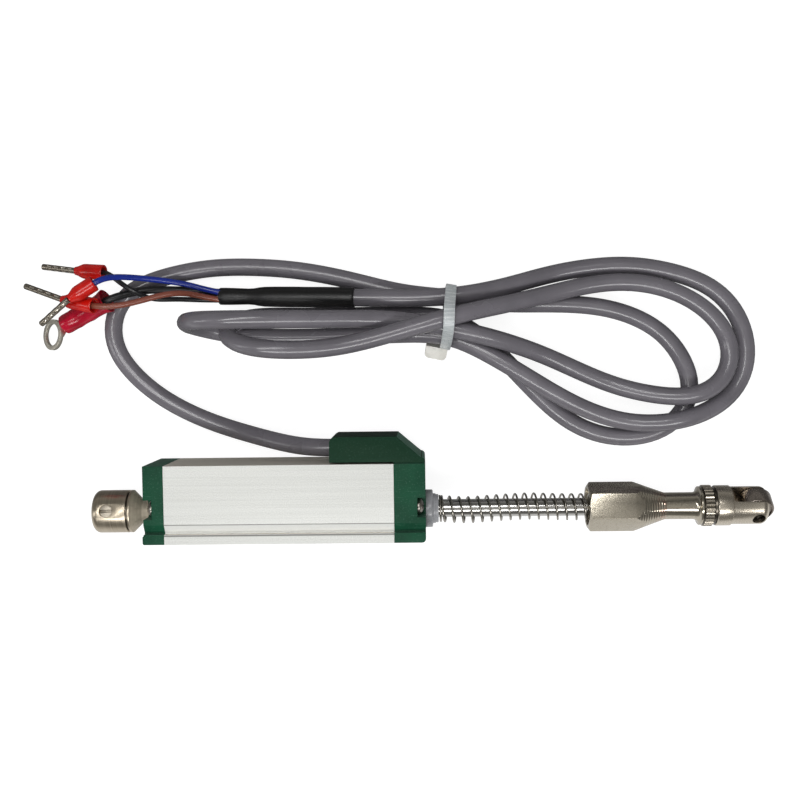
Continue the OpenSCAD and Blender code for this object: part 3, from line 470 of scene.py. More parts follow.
@dataclass(frozen=True)
class GroovedNickel(Finish):
    """Nickel plate round the rod, with painted shade and dark oil in its grooves and one duller
    stretch.
    """

    tint: Colour = (208, 200, 186)
    shade: Colour = (184, 175, 160)
    gloss: float = 0.22
    pitch: float = 0.18
    squeeze: Point | None = None
    # dark colour of oil and painted shade in the grooves
    grease: Colour = (58, 54, 48)
    groove_radius: float = 4.62
    greasy: Span = (0.0, 0.0)
    dull: Span = (0.0, 0.0)

    def paint(self, graph: Graph) -> None:
        """Builds the nodes of the plate, the painted shade and oil in its grooves, and its duller
        stretch.

        Args:
            graph: the material's empty graph.
        """
        x = graph.axis("X")
        across = graph.axis("Y") - AXIS_Y
        up = graph.axis("Z") - AXIS_Z
        radius = (across * across + up * up).root()
        worked = graph.noise(self.pitch, 2.0, self.squeeze)
        share = graph.noise(6.0, 2.0).spread(0.3, 0.7) * 0.3 + worked.spread(0.3, 0.7) * 0.7
        # painted shade with oil: darkest where the radius falls to the grooves' floor
        low = radius.spread(self.groove_radius - 0.1, self.groove_radius + 0.06, 0.85, 0.0)
        plate = graph.mix(share, self.shade, self.tint)
        dull = x.within(self.dull)
        rough = worked.spread(0.25, 0.75, self.gloss, self.gloss + 0.1)
        graph.dress(
            Base_Color=graph.mix(low * x.within(self.greasy), plate, self.grease),
            Metallic=1.0 - dull * 0.6,
            Roughness=rough + dull * 0.2,
            Normal=graph.bump(worked, 0.0012, 0.5),
        )


@dataclass(frozen=True)
class BlastedProfile(Finish):
    """Blasted, anodised extrusion with fine pits and faint drawing lines, with painted light on its
    +Y side and on the groove's sloped band, and painted shadow lines along the groove's edges.
    """

    tint: Colour = (218, 219, 215)
    shade: Colour = (188, 189, 185)
    # colour of the painted light on the +Y-facing narrow side
    edge_side: Colour = (226, 218, 202)
    # colour of the painted light on the groove's sloped band
    strip: Colour = (244, 245, 242)
    shadow: Colour = (70, 68, 62)
    groove: Span = (-6.95, -4.5)

    def paint(self, graph: Graph) -> None:
        """Builds the nodes of the blasted extrusion.

        Args:
            graph: the material's empty graph.
        """
        pits = graph.noise(0.24, 2.0)
        lines = graph.noise(0.35, 2.0, (0.01, 1.0, 1.0))
        share = pits.spread(0.3, 0.7) * 0.7 + lines.spread(0.3, 0.7) * 0.3
        colour = graph.mix(share, self.shade, self.tint)
        # painted light: the +Y-facing narrow side is made lighter
        narrow = graph.facing("Y").above(0.6)
        colour = graph.mix(narrow * 0.75, colour, self.edge_side)
        y = graph.axis("Y")
        broad_face = graph.facing("Z").size().above(0.3)
        # painted light: the groove's sloped band is made lighter, standing in for the light it
        # lacks
        strip = y.within(self.groove) * broad_face * (0.7 + pits * 0.3)
        colour = graph.mix(strip, colour, self.strip)
        # painted shadow lines along the groove's foot and its top edge
        foot = (y - self.groove[0]).size().spread(0.06, 0.34, 0.85, 0.0)
        top = (y - self.groove[1]).size().spread(0.05, 0.14, 0.8, 0.0)
        colour = graph.mix(broad_face * (top + foot), colour, self.shadow)
        graph.dress(
            Base_Color=colour,
            Metallic=0.35,
            Roughness=pits.spread(0.3, 0.7, 0.38, 0.5),
            Normal=graph.bump(pits * 0.7 + lines * 0.3, 0.014, 0.6),
        )


@dataclass(frozen=True)
class TurnedCup(Finish):
    """Nickel plate: frosted flats on the hexagon, fine ridges on the cone, rings elsewhere, and a
    patchy reddish painted reflection on the cone.
    """

    tint: Colour = (192, 185, 170)
    shade: Colour = (144, 136, 122)
    cone: Span = (80.6, 88.2)
    ridge: float = 0.62
    # colour of the painted reddish reflection on the cone
    blush: Colour = (170, 95, 75)
    blush_over: Span = (84.2, 87.2)

    def paint(self, graph: Graph) -> None:
        """Builds the nodes of the cup's three zones.

        Args:
            graph: the material's empty graph.
        """
        x = graph.axis("X")
        hexagon = x.below(self.cone[0])
        cone = x.within(self.cone) * graph.facing("X", "True Normal").above(0.12)
        pits = graph.noise(0.16, 2.0)
        blots = graph.noise(0.5, 2.0).spread(0.5, 0.7)
        ridges = (x * (2.0 * math.pi / self.ridge)).sine() * 0.5 + 0.5
        rings = graph.noise(0.4, 2.0, (1.0, 0.05, 0.05))
        height = hexagon * pits * 0.35 + cone * ridges * 1.6 + rings * 0.3
        # painted reflection: patchy reddish colour over part of the cone
        blush = cone * x.spread(*self.blush_over) * graph.noise(0.9, 2.0).spread(0.42, 0.62)
        colour = graph.mix(pits.spread(0.3, 0.7) * 0.5 + blots * 0.3, self.tint, self.shade)
        colour = graph.mix(blush * 0.28, colour, self.blush)
        rough = hexagon * pits.spread(0.3, 0.7, 0.16, 0.34) + (1.0 - hexagon) * 0.16
        normal = graph.bump(height, 0.03, 0.8)
        graph.dress(Base_Color=colour, Metallic=1.0, Roughness=rough, Normal=normal)


@dataclass(frozen=True)
class Jacket(Finish):
    """Extruded insulation, slightly uneven in gloss, with faint handling marks."""

    tint: Colour = (112, 110, 115)
    gloss: float = 0.36
    marks: float = 0.2
    coat: float = 0.0

    def paint(self, graph: Graph) -> None:
        """Builds the nodes of the insulation.

        Args:
            graph: the material's empty graph.
        """
        broad = graph.noise(9.0, 3.0)
        fine = graph.noise(0.4, 3.0)
        dust = graph.noise(0.9, 2.0).spread(0.62, 0.75)
        colour = graph.mix(broad.spread(0.3, 0.7), dark(self.tint, 0.94), dark(self.tint, 1.05))
        colour = graph.mix(dust * self.marks, colour, dark(self.tint, 1.45))
        graph.dress(
            Base_Color=colour,
            Roughness=broad.spread(0.3, 0.7, self.gloss - 0.05, self.gloss + 0.06),
            Normal=graph.bump(fine, 0.001, 0.15),
            Coat_Weight=self.coat,
            Coat_Roughness=0.15,
        )


@dataclass(frozen=True)
class ShrunkSleeve(Finish):
    """Heat-shrink tubing: satin black with shallow wrinkles and dusty crests."""

    tint: Colour = (16, 16, 17)
    dusty: Colour = (84, 84, 86)
    wrinkle: float = 2.4

    def paint(self, graph: Graph) -> None:
        """Builds the nodes of the wrinkled sleeve.

        Args:
            graph: the material's empty graph.
        """
        folds = graph.noise(self.wrinkle, 2.0, (1.0, 0.5, 0.5))
        fine = graph.noise(0.3, 2.0)
        dust = graph.noise(0.5, 2.0).spread(0.6, 0.75)
        graph.dress(
            Base_Color=graph.mix(dust * 0.18, self.tint, self.dusty),
            Roughness=(folds * 0.6 + fine * 0.4).spread(0.3, 0.7, 0.3, 0.46),
            Normal=graph.bump(folds * 0.8 + fine * 0.2, 0.12, 0.6),
        )


@dataclass(frozen=True)
class CrimpPlastic(Finish):
    """Glossy plastic of crimped collars and sleeves, with broad flow marks."""

    tint: Colour = (184, 12, 6)
    bright: Colour = (206, 24, 12)
    gloss: float = 0.2

    def paint(self, graph: Graph) -> None:
        """Builds the nodes of the plastic.

        Args:
            graph: the material's empty graph.
        """
        flow = graph.noise(2.2, 3.0)
        fine = graph.noise(0.35, 2.0)
        graph.dress(
            Base_Color=graph.mix(flow.spread(0.35, 0.65), self.tint, self.bright),
            Roughness=fine.spread(0.3, 0.7, self.gloss - 0.05, self.gloss + 0.08),
            Normal=graph.bump(flow * 0.7 + fine * 0.3, 0.04, 0.4),
        )


@dataclass(frozen=True)
class TieStrap(Finish):
    """Cloudy natural nylon of a cable tie, with the fine cross ribs of its teeth and a painted
    highlight on their crests, or plain.
    """

    tint: Colour = (176, 182, 184)
    # lighter colour of the cloudy nylon, and of the painted highlight on the rib crests
    crest: Colour = (212, 216, 216)
    rib: float = 0.95
    ribbed: bool = True

    def paint(self, graph: Graph) -> None:
        """Builds the nodes of the ribbed nylon.

        Args:
            graph: the material's empty graph.
        """
        cloud = graph.noise(2.5, 2.0).spread(0.35, 0.65)
        fine = graph.noise(0.3, 2.0)
        if self.ribbed:
            ribs = self.ribs(graph)
            # painted highlight: the ribs' crests take the lighter colour
            share = ribs * 0.55 + cloud * 0.3
            height = ribs * 0.8 + fine * 0.2
        else:
            share = cloud * 0.8
            height = cloud * 0.5 + fine * 0.5
        graph.dress(
            Base_Color=graph.mix(share, self.tint, self.crest),
            Roughness=fine.spread(0.3, 0.7, 0.24, 0.36),
            Normal=graph.bump(height, 0.08, 0.7),
            Coat_Weight=0.2,
            Coat_Roughness=0.12,
        )

    def ribs(self, graph: Graph) -> Wire:
        """Ribs across the strap, along Y where it lies flat and along Z where it stands.

        Args:
            graph: the material's graph.

        Returns:
            One on the crests and zero between them.
        """
        turn = 2.0 * math.pi / self.rib
        along = (graph.axis("Y") * turn).sine() * graph.facing("Z").size()
        down = (graph.axis("Z") * turn).sine() * graph.facing("Y").size()
        return (along + down).spread(0.2, 0.85)


@dataclass(frozen=True)
class Printed(Finish):
    """Printed ink or laminate with a fine weave."""

    tint: Colour = (40, 40, 42)
    other: Colour = (58, 58, 60)
    metallic: float = 0.0
    weave_rate: float = 9.0

    def paint(self, graph: Graph) -> None:
        """Builds the nodes of the print.

        Args:
            graph: the material's empty graph.
        """
        rate = self.weave_rate
        weave = (graph.axis("X") * rate).sine() * (graph.axis("Z") * rate).sine()
        fine = graph.noise(0.2, 2.0)
        share = weave.spread(-1.0, 1.0) * 0.5 + fine * 0.5
        graph.dress(
            Base_Color=graph.mix(share, self.tint, self.other),
            Metallic=self.metallic,
            Roughness=fine.spread(0.3, 0.7, 0.4, 0.6),
            Normal=graph.bump(fine, 0.006, 0.4),
        )


CAP_GREEN = MouldedPlastic("cap_green", outlet_past=9.2)
BUSH_GREY = MouldedPlastic(
    "bush_grey", (150, 151, 154), (190, 190, 192), 0.4, 0.004, 0.26, 0.2, shine=0.5
)
CARRIAGE_IVORY = MouldedPlastic(
    "carriage_ivory", (226, 220, 200), (240, 238, 230), grain=0.4, depth=0.006, gloss=0.4, worn=0.2
)
SEAL_BLACK = MouldedPlastic(
    "seal_black", (26, 26, 27), (60, 60, 60), grain=0.3, depth=0.01, gloss=0.6, worn=0.3
)
PROFILE = BlastedProfile("anodised_profile")
ROD_STEEL = Metal("rod_steel", (200, 199, 196), (170, 168, 164), Grain.GROUND, 0.1, 0.002)
SCREW_STEEL = Metal("screw_steel", (160, 157, 150), (118, 114, 107), Grain.GROUND, 0.24, 0.004)
GRUB_STEEL = Metal("grub_steel", (192, 184, 170), (164, 156, 143), Grain.GROUND, 0.42, 0.003)
# blackened steel, darkened further as painted shade for the pin deep in its recess
PIN_BLACK_AND_SHADED = Metal("pin_blacked", (44, 42, 40), (30, 29, 28), Grain.GROUND, 0.3, 0.004)
SPRING_WIRE = Metal("spring_wire", (176, 172, 164), (132, 128, 120), Grain.GROUND, 0.2, 0.003)
STOP_NICKEL = GroovedNickel(
    "stop_nickel",
    (196, 185, 166),
    (172, 161, 143),
    gloss=0.27,
    pitch=0.34,
    squeeze=(1.0, 0.02, 0.02),
    # the groove behind the stop's head gets painted shade with oil
    greasy=(-37.65, -37.05),
    dull=(-36.7, -32.0),
)
# the knurl's roots and the fork's groove get painted shade with oil
FORK_NICKEL = GroovedNickel("fork_nickel", greasy=(96.35, 99.52))
CUP_NICKEL = TurnedCup("cup_nickel")
ROLLER_STEEL = Metal("roller_steel", (178, 168, 159), (112, 104, 98), Grain.GROUND, 0.2, 0.006)
TINNED = Metal("tinned_copper", (172, 164, 151), (124, 117, 106), Grain.FROSTED, 0.24, 0.005)
# painted highlight: the dents' floors are made light, as if they caught the light
TINNED_DENT_HIGHLIGHT = Metal("tinned_dent", (236, 231, 220), (206, 200, 188), Grain.FROSTED, 0.3, 0.004)
LUG_TIN = Metal("lug_tin", (246, 242, 230), (228, 222, 208), Grain.FROSTED, 0.4, 0.004)
CONTACT = Metal("contact_alloy", (222, 196, 130), (196, 168, 104), Grain.GROUND, 0.22, 0.003)
CABLE_JACKET = Jacket("cable_jacket", (108, 105, 111), 0.25, 0.03, 0.35)
SHRINK_BLACK = ShrunkSleeve("shrink_black")
SCREEN_SLEEVE = Jacket("screen_sleeve", (24, 24, 26), 0.42, 0.3)
BLUE_INSULATION = Jacket("blue_insulation", (14, 40, 140), 0.27, 0.04, 0.2)
BROWN_INSULATION = Jacket("brown_insulation", (130, 70, 54), 0.27, 0.08, 0.2)
BLACK_INSULATION = Jacket("black_insulation", (26, 27, 30), 0.3, 0.15, 0.2)
COLLAR_RED = CrimpPlastic("collar_red")
LUG_RED = CrimpPlastic("lug_red", (158, 2, 32), (182, 6, 44), 0.18)
TIE_NYLON = TieStrap("tie_nylon")
TIE_HEAD = TieStrap("tie_head_nylon", (212, 210, 202), (230, 228, 221), ribbed=False)
BOARD_BROWN = Printed("board_laminate", (96, 62, 36), (116, 78, 46))
TRACK_INK = Printed("track_ink", (34, 34, 36), (48, 48, 50))
COLLECTOR_INK = Printed("collector_ink", (178, 176, 168), (198, 196, 188), 0.8)
INNER_LEADS = Jacket("inner_lead", (60, 60, 70), 0.34, 0.1)


# ---------------------------------------------------------------------------------------------
# Modelling helpers
# ---------------------------------------------------------------------------------------------


def pick(obj: bpy.types.Object) -> bpy.types.Object:
    """Selects one object alone and makes it active.

    Args:
        obj: the object.

    Returns:
        The same object.
    """
    bpy.ops.object.select_all(action="DESELECT")
    obj.select_set(True)
    bpy.context.view_layer.objects.active = obj
    return obj


def dressed(obj: bpy.types.Object, finish: Finish) -> bpy.types.Object:
    """Gives obj one finish and no other material.

    Args:
        obj: a mesh or curve object.
        finish: the finish.

    Returns:
        The same object.
    """
    obj.data.materials.clear()
    obj.data.materials.append(finish.material())
    return obj


def settle(obj: bpy.types.Object) -> bpy.types.Object:
    """Applies an object's place, turn and scale to its mesh.

    Args:
        obj: a mesh object.

    Returns:
        The same object.
    """
    pick(obj)
    bpy.ops.object.transform_apply(location=True, rotation=True, scale=True)
    return obj


@contextmanager
def editing(obj: bpy.types.Object, kind: str = "VERT") -> Iterator[None]:
    """Opens edit mode on one object alone, with its whole mesh selected.

    Args:
        obj: a mesh object.
        kind: what its selection is made of: VERT, EDGE or FACE.

    Yields:
        Nothing, while edit mode is open.
    """
    pick(obj)
    bpy.ops.object.mode_set(mode="EDIT")
    bpy.ops.mesh.select_mode(type=kind)
    bpy.ops.mesh.select_all(action="SELECT")
    yield
    bpy.ops.object.mode_set(mode="OBJECT")


def choose(obj: bpy.types.Object, kind: str, wanted: Callable[[object], bool]) -> None:
    """Selects the parts of a mesh that pass a test and no others, in edit mode.

    Args:
        obj: the mesh object that is being edited.
        kind: verts, edges or faces.
        wanted: the test of one of these.
    """
    bpy.ops.mesh.select_all(action="DESELECT")
    mesh = bmesh.from_edit_mesh(obj.data)
    for part in getattr(mesh, kind):
        if wanted(part):
            part.select_set(True)
    bmesh.update_edit_mesh(obj.data)


def smooth(obj: bpy.types.Object, degrees: float) -> bpy.types.Object:
    """Shades an object smooth except at its sharp edges.

    Args:
        obj: a mesh object.
        degrees: edges sharper than this stay sharp.

    Returns:
        The same object.
    """
    pick(obj)
    bpy.ops.object.shade_smooth_by_angle(angle=math.radians(degrees))
    return obj


def outward(obj: bpy.types.Object) -> bpy.types.Object:
    """Merges doubled points and turns faces outwards.

    Args:
        obj: a mesh object.

    Returns:
        The same object.
    """
    with editing(obj):
        bpy.ops.mesh.remove_doubles(threshold=MERGE * MM)
        bpy.ops.mesh.normals_make_consistent(inside=False)
    return obj


def bevelled(
    obj: bpy.types.Object, width: float, segments: int = 2, degrees: float = 30.0
) -> bpy.types.Object:
    """Rounds the sharp edges of a mesh.

    Args:
        obj: a mesh object.
        width: width of the rounding in millimetres.
        segments: number of steps across it.
        degrees: edges flatter than this stay.

    Returns:
        The same object.
    """
    modifier = obj.modifiers.new("edge", "BEVEL")
    modifier.width = width * MM
    modifier.segments = segments
    modifier.limit_method = "ANGLE"
    modifier.angle_limit = math.radians(degrees)
    modifier.use_clamp_overlap = True
    pick(obj)
    bpy.ops.object.modifier_apply(modifier=modifier.name)
    return obj


def aim(start: Sequence[float], end: Sequence[float], turn: float = 0.0) -> Matrix:
    """Matrix that sets +Z from one point towards another.

    Args:
        start: where the origin goes, in millimetres.
        end: point that +Z points to.
        turn: turn about the new axis in degrees.

    Returns:
        The matrix, in metres.
    """
    a, b = Vector(start), Vector(end)
    look = (b - a).normalized().to_track_quat("Z", "Y")
    spin = Matrix.Rotation(math.radians(turn), 4, "Z")
    return Matrix.Translation(a * MM) @ look.to_matrix().to_4x4() @ spin


def turned(
    name: str, stations: Sequence[tuple[float, float]], place: Matrix, sides: int = 32
) -> bpy.types.Object:
    """Draws a round piece by extruding a circle through stations.

    Args:
        name: name of the piece.
        stations: distance along the axis and radius, in millimetres; the first and last are
            closed at their middle.
        place: matrix that sets the axis in the part's frame.
        sides: number of sides of the circle.

    Returns:
        The closed mesh object, with its place applied.
    """
    first_z, first_r = stations[0]
    bpy.ops.object.select_all(action="DESELECT")
    bpy.ops.mesh.primitive_circle_add(
        vertices=sides, radius=first_r * MM, fill_type="TRIFAN", location=(0, 0, first_z * MM)
    )
    obj = bpy.context.active_object
    obj.name = name
    settle(obj)
    with editing(obj, "EDGE"):
        bpy.ops.mesh.region_to_loop()
        z, r = first_z, first_r
        for next_z, next_r in stations[1:]:
            lift = (0, 0, (next_z - z) * MM)
            bpy.ops.mesh.extrude_region_move(TRANSFORM_OT_translate={"value": lift})
            k = next_r / r
            bpy.ops.transform.resize(value=(k, k, 1), center_override=(0, 0, next_z * MM))
            z, r = next_z, next_r
        bpy.ops.mesh.extrude_region_move(TRANSFORM_OT_translate={"value": (0, 0, 0)})
        bpy.ops.mesh.merge(type="CENTER")
        bpy.ops.mesh.select_all(action="SELECT")
        bpy.ops.mesh.remove_doubles(threshold=0.1 * MERGE * MM)
        bpy.ops.mesh.normals_make_consistent(inside=False)
    obj.matrix_world = place
    return settle(obj)


def flowing(points: Sequence[Point], step: float, passes: int) -> list[Vector]:
    """Draws a centripetal Catmull-Rom line through points and smooths it.

    Args:
        points: the route in millimetres.
        step: spacing of the result in millimetres.
        passes: number of smoothing passes.

    Returns:
        Points of the smooth line in millimetres, evenly spaced.
    """
    p = [Vector(q) for q in points]
    p = [p[0] * 2 - p[1]] + p + [p[-1] * 2 - p[-2]]
    dense: list[Vector] = []
    for i in range(1, len(p) - 2):
        a, b, c, d = p[i - 1], p[i], p[i + 1], p[i + 2]
        t1 = max((b - a).length, 1e-6) ** 0.5
        t2 = t1 + max((c - b).length, 1e-6) ** 0.5
        t3 = t2 + max((d - c).length, 1e-6) ** 0.5
        count = max(4, int((c - b).length / (step * 0.5)))
        for k in range(count):
            t = t1 + (t2 - t1) * k / count
            a1 = a * ((t1 - t) / t1) + b * (t / t1)
            a2 = b * ((t2 - t) / (t2 - t1)) + c * ((t - t1) / (t2 - t1))
            a3 = c * ((t3 - t) / (t3 - t2)) + d * ((t - t2) / (t3 - t2))
            b1 = a1 * ((t2 - t) / t2) + a2 * (t / t2)
            b2 = a2 * ((t3 - t) / (t3 - t1)) + a3 * ((t - t1) / (t3 - t1))
            dense.append(b1 * ((t2 - t) / (t2 - t1)) + b2 * ((t - t1) / (t2 - t1)))
    dense.append(p[-2].copy())
    line = evenly(dense, step)
    for _ in range(passes):
        line = (
            line[:2]
            + [(line[i - 1] + line[i] * 2 + line[i + 1]) / 4 for i in range(2, len(line) - 2)]
            + line[-2:]
        )
    return evenly(line, step)


def evenly(line: Sequence[Vector], step: float) -> list[Vector]:
    """Spaces the points of a line evenly.

    Args:
        line: the points.
        step: the wanted spacing.

    Returns:
        New points on the line, with its ends kept.
    """
    lengths = [0.0]
    for a, b in zip(line, line[1:]):
        lengths.append(lengths[-1] + (b - a).length)
    count = max(2, round(lengths[-1] / step))
    result, k = [], 0
    for i in range(count + 1):
        target = lengths[-1] * i / count
        while k < len(line) - 2 and lengths[k + 1] < target:
            k += 1
        span = max(lengths[k + 1] - lengths[k], 1e-9)
        result.append(line[k].lerp(line[k + 1], min(1.0, (target - lengths[k]) / span)))
    return result


def tube(name: str, line: Sequence[Vector], radius: float, sides: int) -> bpy.types.Object:
    """Makes a curve with one open spline and a round section.

    Args:
        name: name of the piece.
        line: its middle line in millimetres.
        radius: radius of the section in millimetres.
        sides: bevel resolution of the section.

    Returns:
        The curve object.
    """
    data = bpy.data.curves.new(name, "CURVE")
    data.dimensions = "3D"
    data.bevel_depth = radius * MM
    data.bevel_resolution = sides
    data.use_fill_caps = True
    spline = data.splines.new("POLY")
    spline.points.add(len(line) - 1)
    for point, place in zip(spline.points, line):
        point.co = (*(place * MM), 1.0)
    spline.use_smooth = True
    obj = bpy.data.objects.new(name, data)
    bpy.context.scene.collection.objects.link(obj)
    return obj


# ---------------------------------------------------------------------------------------------
# Sub-assemblies
# ---------------------------------------------------------------------------------------------


@dataclass
class Assembly:
    """What every sub-assembly shares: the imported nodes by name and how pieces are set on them."""

    nodes: dict[str, bpy.types.Object]

    def keep(self, node: str, finish: Finish) -> bpy.types.Object:
        """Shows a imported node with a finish.

        Args:
            node: the node's name.
            finish: its finish.

        Returns:
            The node's object.
        """
        LOG.info("kept %s as %s", node, finish.name)
        return dressed(self.nodes[node], finish)

    def soften(
        self,
        node: str,
        finish: Finish,
        width: float,
        segments: int = 2,
        degrees: float = 30.0,
        crease: float = 40.0,
        corner: float = 0.0,
    ) -> bpy.types.Object:
        """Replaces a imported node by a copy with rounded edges.

        Args:
            node: the node's name.
            finish: its finish.
            width: width of the rounding in millimetres.
            segments: steps across the rounding.
            degrees: edges flatter than this stay.
            crease: edges sharper than this are shaded sharp.
            corner: radius of the long upright corners at the piece's far end, or zero.

        Returns:
            The copy.
        """
        pick(self.nodes[node])
        bpy.ops.object.duplicate()
        copy = bpy.context.active_object
        copy.name = node + "_finished"
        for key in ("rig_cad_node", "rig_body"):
            if key in copy:
                del copy[key]
        copy.parent = None
        copy.matrix_world = Matrix.Identity(4)
        with editing(copy):
            bpy.ops.mesh.remove_doubles(threshold=MERGE * MM)
            bpy.ops.mesh.dissolve_limited(angle_limit=math.radians(0.6))
        if corner:
            self.round_corners(copy, corner)
        bevelled(copy, width, segments, degrees)
        smooth(copy, crease)
        dressed(copy, finish)
        return self.stand_for(copy, node)

    def round_corners(self, obj: bpy.types.Object, radius: float) -> None:
        """Rounds the long upright corners at the end of a piece that is farther from X = 0.

        Args:
            obj: the piece, merged and with its flat faces whole.
            radius: radius in millimetres.
        """
        far = max(abs(vert.co.x) for vert in obj.data.vertices)
        shortest = 12.0 * MM
        slack = 0.02 * MM

        def upright_corner(edge: bmesh.types.BMEdge) -> bool:
            """Whether the edge is a long upright corner at the far end.

            Args:
                edge: the edge.

            Returns:
                True if it is.
            """
            first, last = (vert.co for vert in edge.verts)
            length = (last - first).length
            upright = length > shortest and abs(last.z - first.z) > 0.99 * length
            return upright and edge.is_convex and min(abs(first.x), abs(last.x)) > far - slack

        with editing(obj, "EDGE"):
            choose(obj, "edges", upright_corner)
            bpy.ops.mesh.bevel(offset=radius * MM, segments=4, affect="EDGES", clamp_overlap=True)

    def stand_for(self, piece: bpy.types.Object, *names: str) -> bpy.types.Object:
        """Sets a finished piece on the body of the nodes that it stands for.

        Args:
            piece: the finished piece.
            names: the nodes.

        Returns:
            The piece.
        """
        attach(piece, self.nodes[names[0]]["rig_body"])
        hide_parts(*names)
        LOG.info("%s stands for %s", piece.name, ", ".join(names))
        return piece


@dataclass(frozen=True)
class Lamp:
    """A soft rectangular lamp: its places in millimetres, its sides in metres and its watts."""

    name: str
    place: Point
    target: Point
    wide: float
    high: float
    watts: float

    def hang(self) -> None:
        """Adds the lamp to the scene, facing its target."""
        data = bpy.data.lights.new(self.name, "AREA")
        data.shape = "RECTANGLE"
        data.size = self.wide
        data.size_y = self.high
        data.energy = self.watts
        lamp = bpy.data.objects.new(self.name, data)
        behind = [2 * p - t for p, t in zip(self.place, self.target)]
        lamp.matrix_world = aim(self.place, behind)
        bpy.context.scene.collection.objects.link(lamp)


@dataclass
class Studio:
    """Camera, lamps, world and floor.

    The camera's turn is its axis times its angle in radians. The room is a list of levels from
    straight below to straight above, as mirrored rays find them.
    """

    eye: Point = (31.39, 35.26, 256.01)
    turn: Point = (-0.049591, 0.0194855, -0.0123066)
    lens: float = 47.574
    lamps: tuple[Lamp, ...] = (
        Lamp("key", (60, -250, 440), (35, 10, 5), 0.5, 0.09, 1.3),
        Lamp("overhead", (-60, 120, 560), (35, 20, 5), 0.5, 0.07, 0.95),
        Lamp("side", (-460, -60, 300), (20, 10, 5), 0.1, 0.3, 0.3),
    )
    room: tuple[Span, ...] = ((0.0, 0.42), (0.25, 0.24), (0.6, 0.12), (0.86, 0.26), (0.97, 0.48))
    fill: float = 0.3
    floor_size: float = 6000.0
    floor_drop: float = 0.05

    def build(self) -> None:
        """Makes the whole studio."""
        self.camera()
        self.world()
        self.floor()
        for lamp in self.lamps:
            lamp.hang()

    def camera(self) -> None:
        """Sets the camera above the sensor."""
        data = bpy.data.cameras.new("camera")
        data.lens = self.lens
        data.sensor_width = 36.0
        data.clip_start = 0.01
        data.clip_end = 20.0
        camera = bpy.data.objects.new("camera", data)
        camera.rotation_mode = "QUATERNION"
        camera.location = Vector(self.eye) * MM
        camera.rotation_quaternion = Quaternion(Vector(self.turn))
        bpy.context.scene.collection.objects.link(camera)
        bpy.context.scene.camera = camera

    def world(self) -> None:
        """Lights the room evenly, and shows it white to the camera and graded to mirrored rays."""
        world = bpy.data.worlds.new("room")
        bpy.context.scene.world = world
        sky = Nodes(world)
        seen, mirrored, refracted = sky.rays()
        way = sky.wire("ShaderNodeTexCoord", {}, {}, "Generated")
        height = sky.wire("ShaderNodeSeparateXYZ", {}, {0: way}, "Z")
        stops = [(place, (level, level * 0.985, level * 0.95, 1)) for place, level in self.room]
        ramp = sky.wire("ShaderNodeValToRGB", {"stops": stops}, {0: height})
        graded = sky.wire("ShaderNodeBackground", {}, {"Color": ramp})
        even = sky.wire("ShaderNodeBackground", {}, {"Color": WHITE, "Strength": self.fill})
        white = sky.wire("ShaderNodeBackground", {}, {"Color": WHITE})
        share = mirrored.larger(refracted)
        found = sky.wire("ShaderNodeMixShader", {}, {0: share, 1: even, 2: graded})
        shown = sky.wire("ShaderNodeMixShader", {}, {0: seen, 1: found, 2: white})
        sky.node("ShaderNodeOutputWorld", {}, {"Surface": shown})

    def floor(self) -> None:
        """Lays a white floor that keeps a faint shadow, and glows to mirrored rays as a painted
        reflection, dimmer towards +Y.
        """
        bpy.ops.object.select_all(action="DESELECT")
        bpy.ops.mesh.primitive_plane_add(
            size=self.floor_size * MM, location=(0, 0, -self.floor_drop * MM)
        )
        floor = bpy.context.active_object
        floor.name = "floor"
        graph = Graph("floor_white")
        graph.dress(Base_Color=(248, 248, 248), Roughness=0.9)
        seen, mirrored, refracted = graph.rays()
        direct = seen + refracted
        # painted reflection: to mirrored rays the floor glows, bright towards -Y and dim towards +Y
        painted_mirror_fall = graph.axis("Y").spread(-14.0, 12.0, 0.9, 0.06)
        level = direct * 1.26 + mirrored * painted_mirror_fall
        glow = graph.wire("ShaderNodeEmission", {}, {"Color": WHITE, "Strength": level})
        paint = Wire(graph, graph.shader.outputs[0])
        share = direct * 0.7 + mirrored * 0.9
        mixed = graph.wire("ShaderNodeMixShader", {}, {0: share, 1: paint, 2: glow})
        graph.feed(graph.out.inputs[0], mixed)
        floor.data.materials.append(graph.material)


@dataclass(frozen=True)
class Terminal:
    """A crimped terminal: its collar's mouth and neck, and its tip or the middle of its eye."""

    mouth: Point
    neck: Point
    tip: Point

    def inside(self, depth: float) -> Point:
        """The place that far past the mouth, towards the neck."""
        mouth = Vector(self.mouth)
        return tuple(mouth + (Vector(self.neck) - mouth).normalized() * depth)


@dataclass(frozen=True)
class Lead:
    """A lead: its looks, its place across the sleeve, its way, and how it enters its terminal."""

    node: str
    radius: float
    finish: Finish
    slot: str
    across: Point
    way: tuple[Point, ...]
    terminal: Terminal
    before: float = 1.0
    depth: float = 0.9


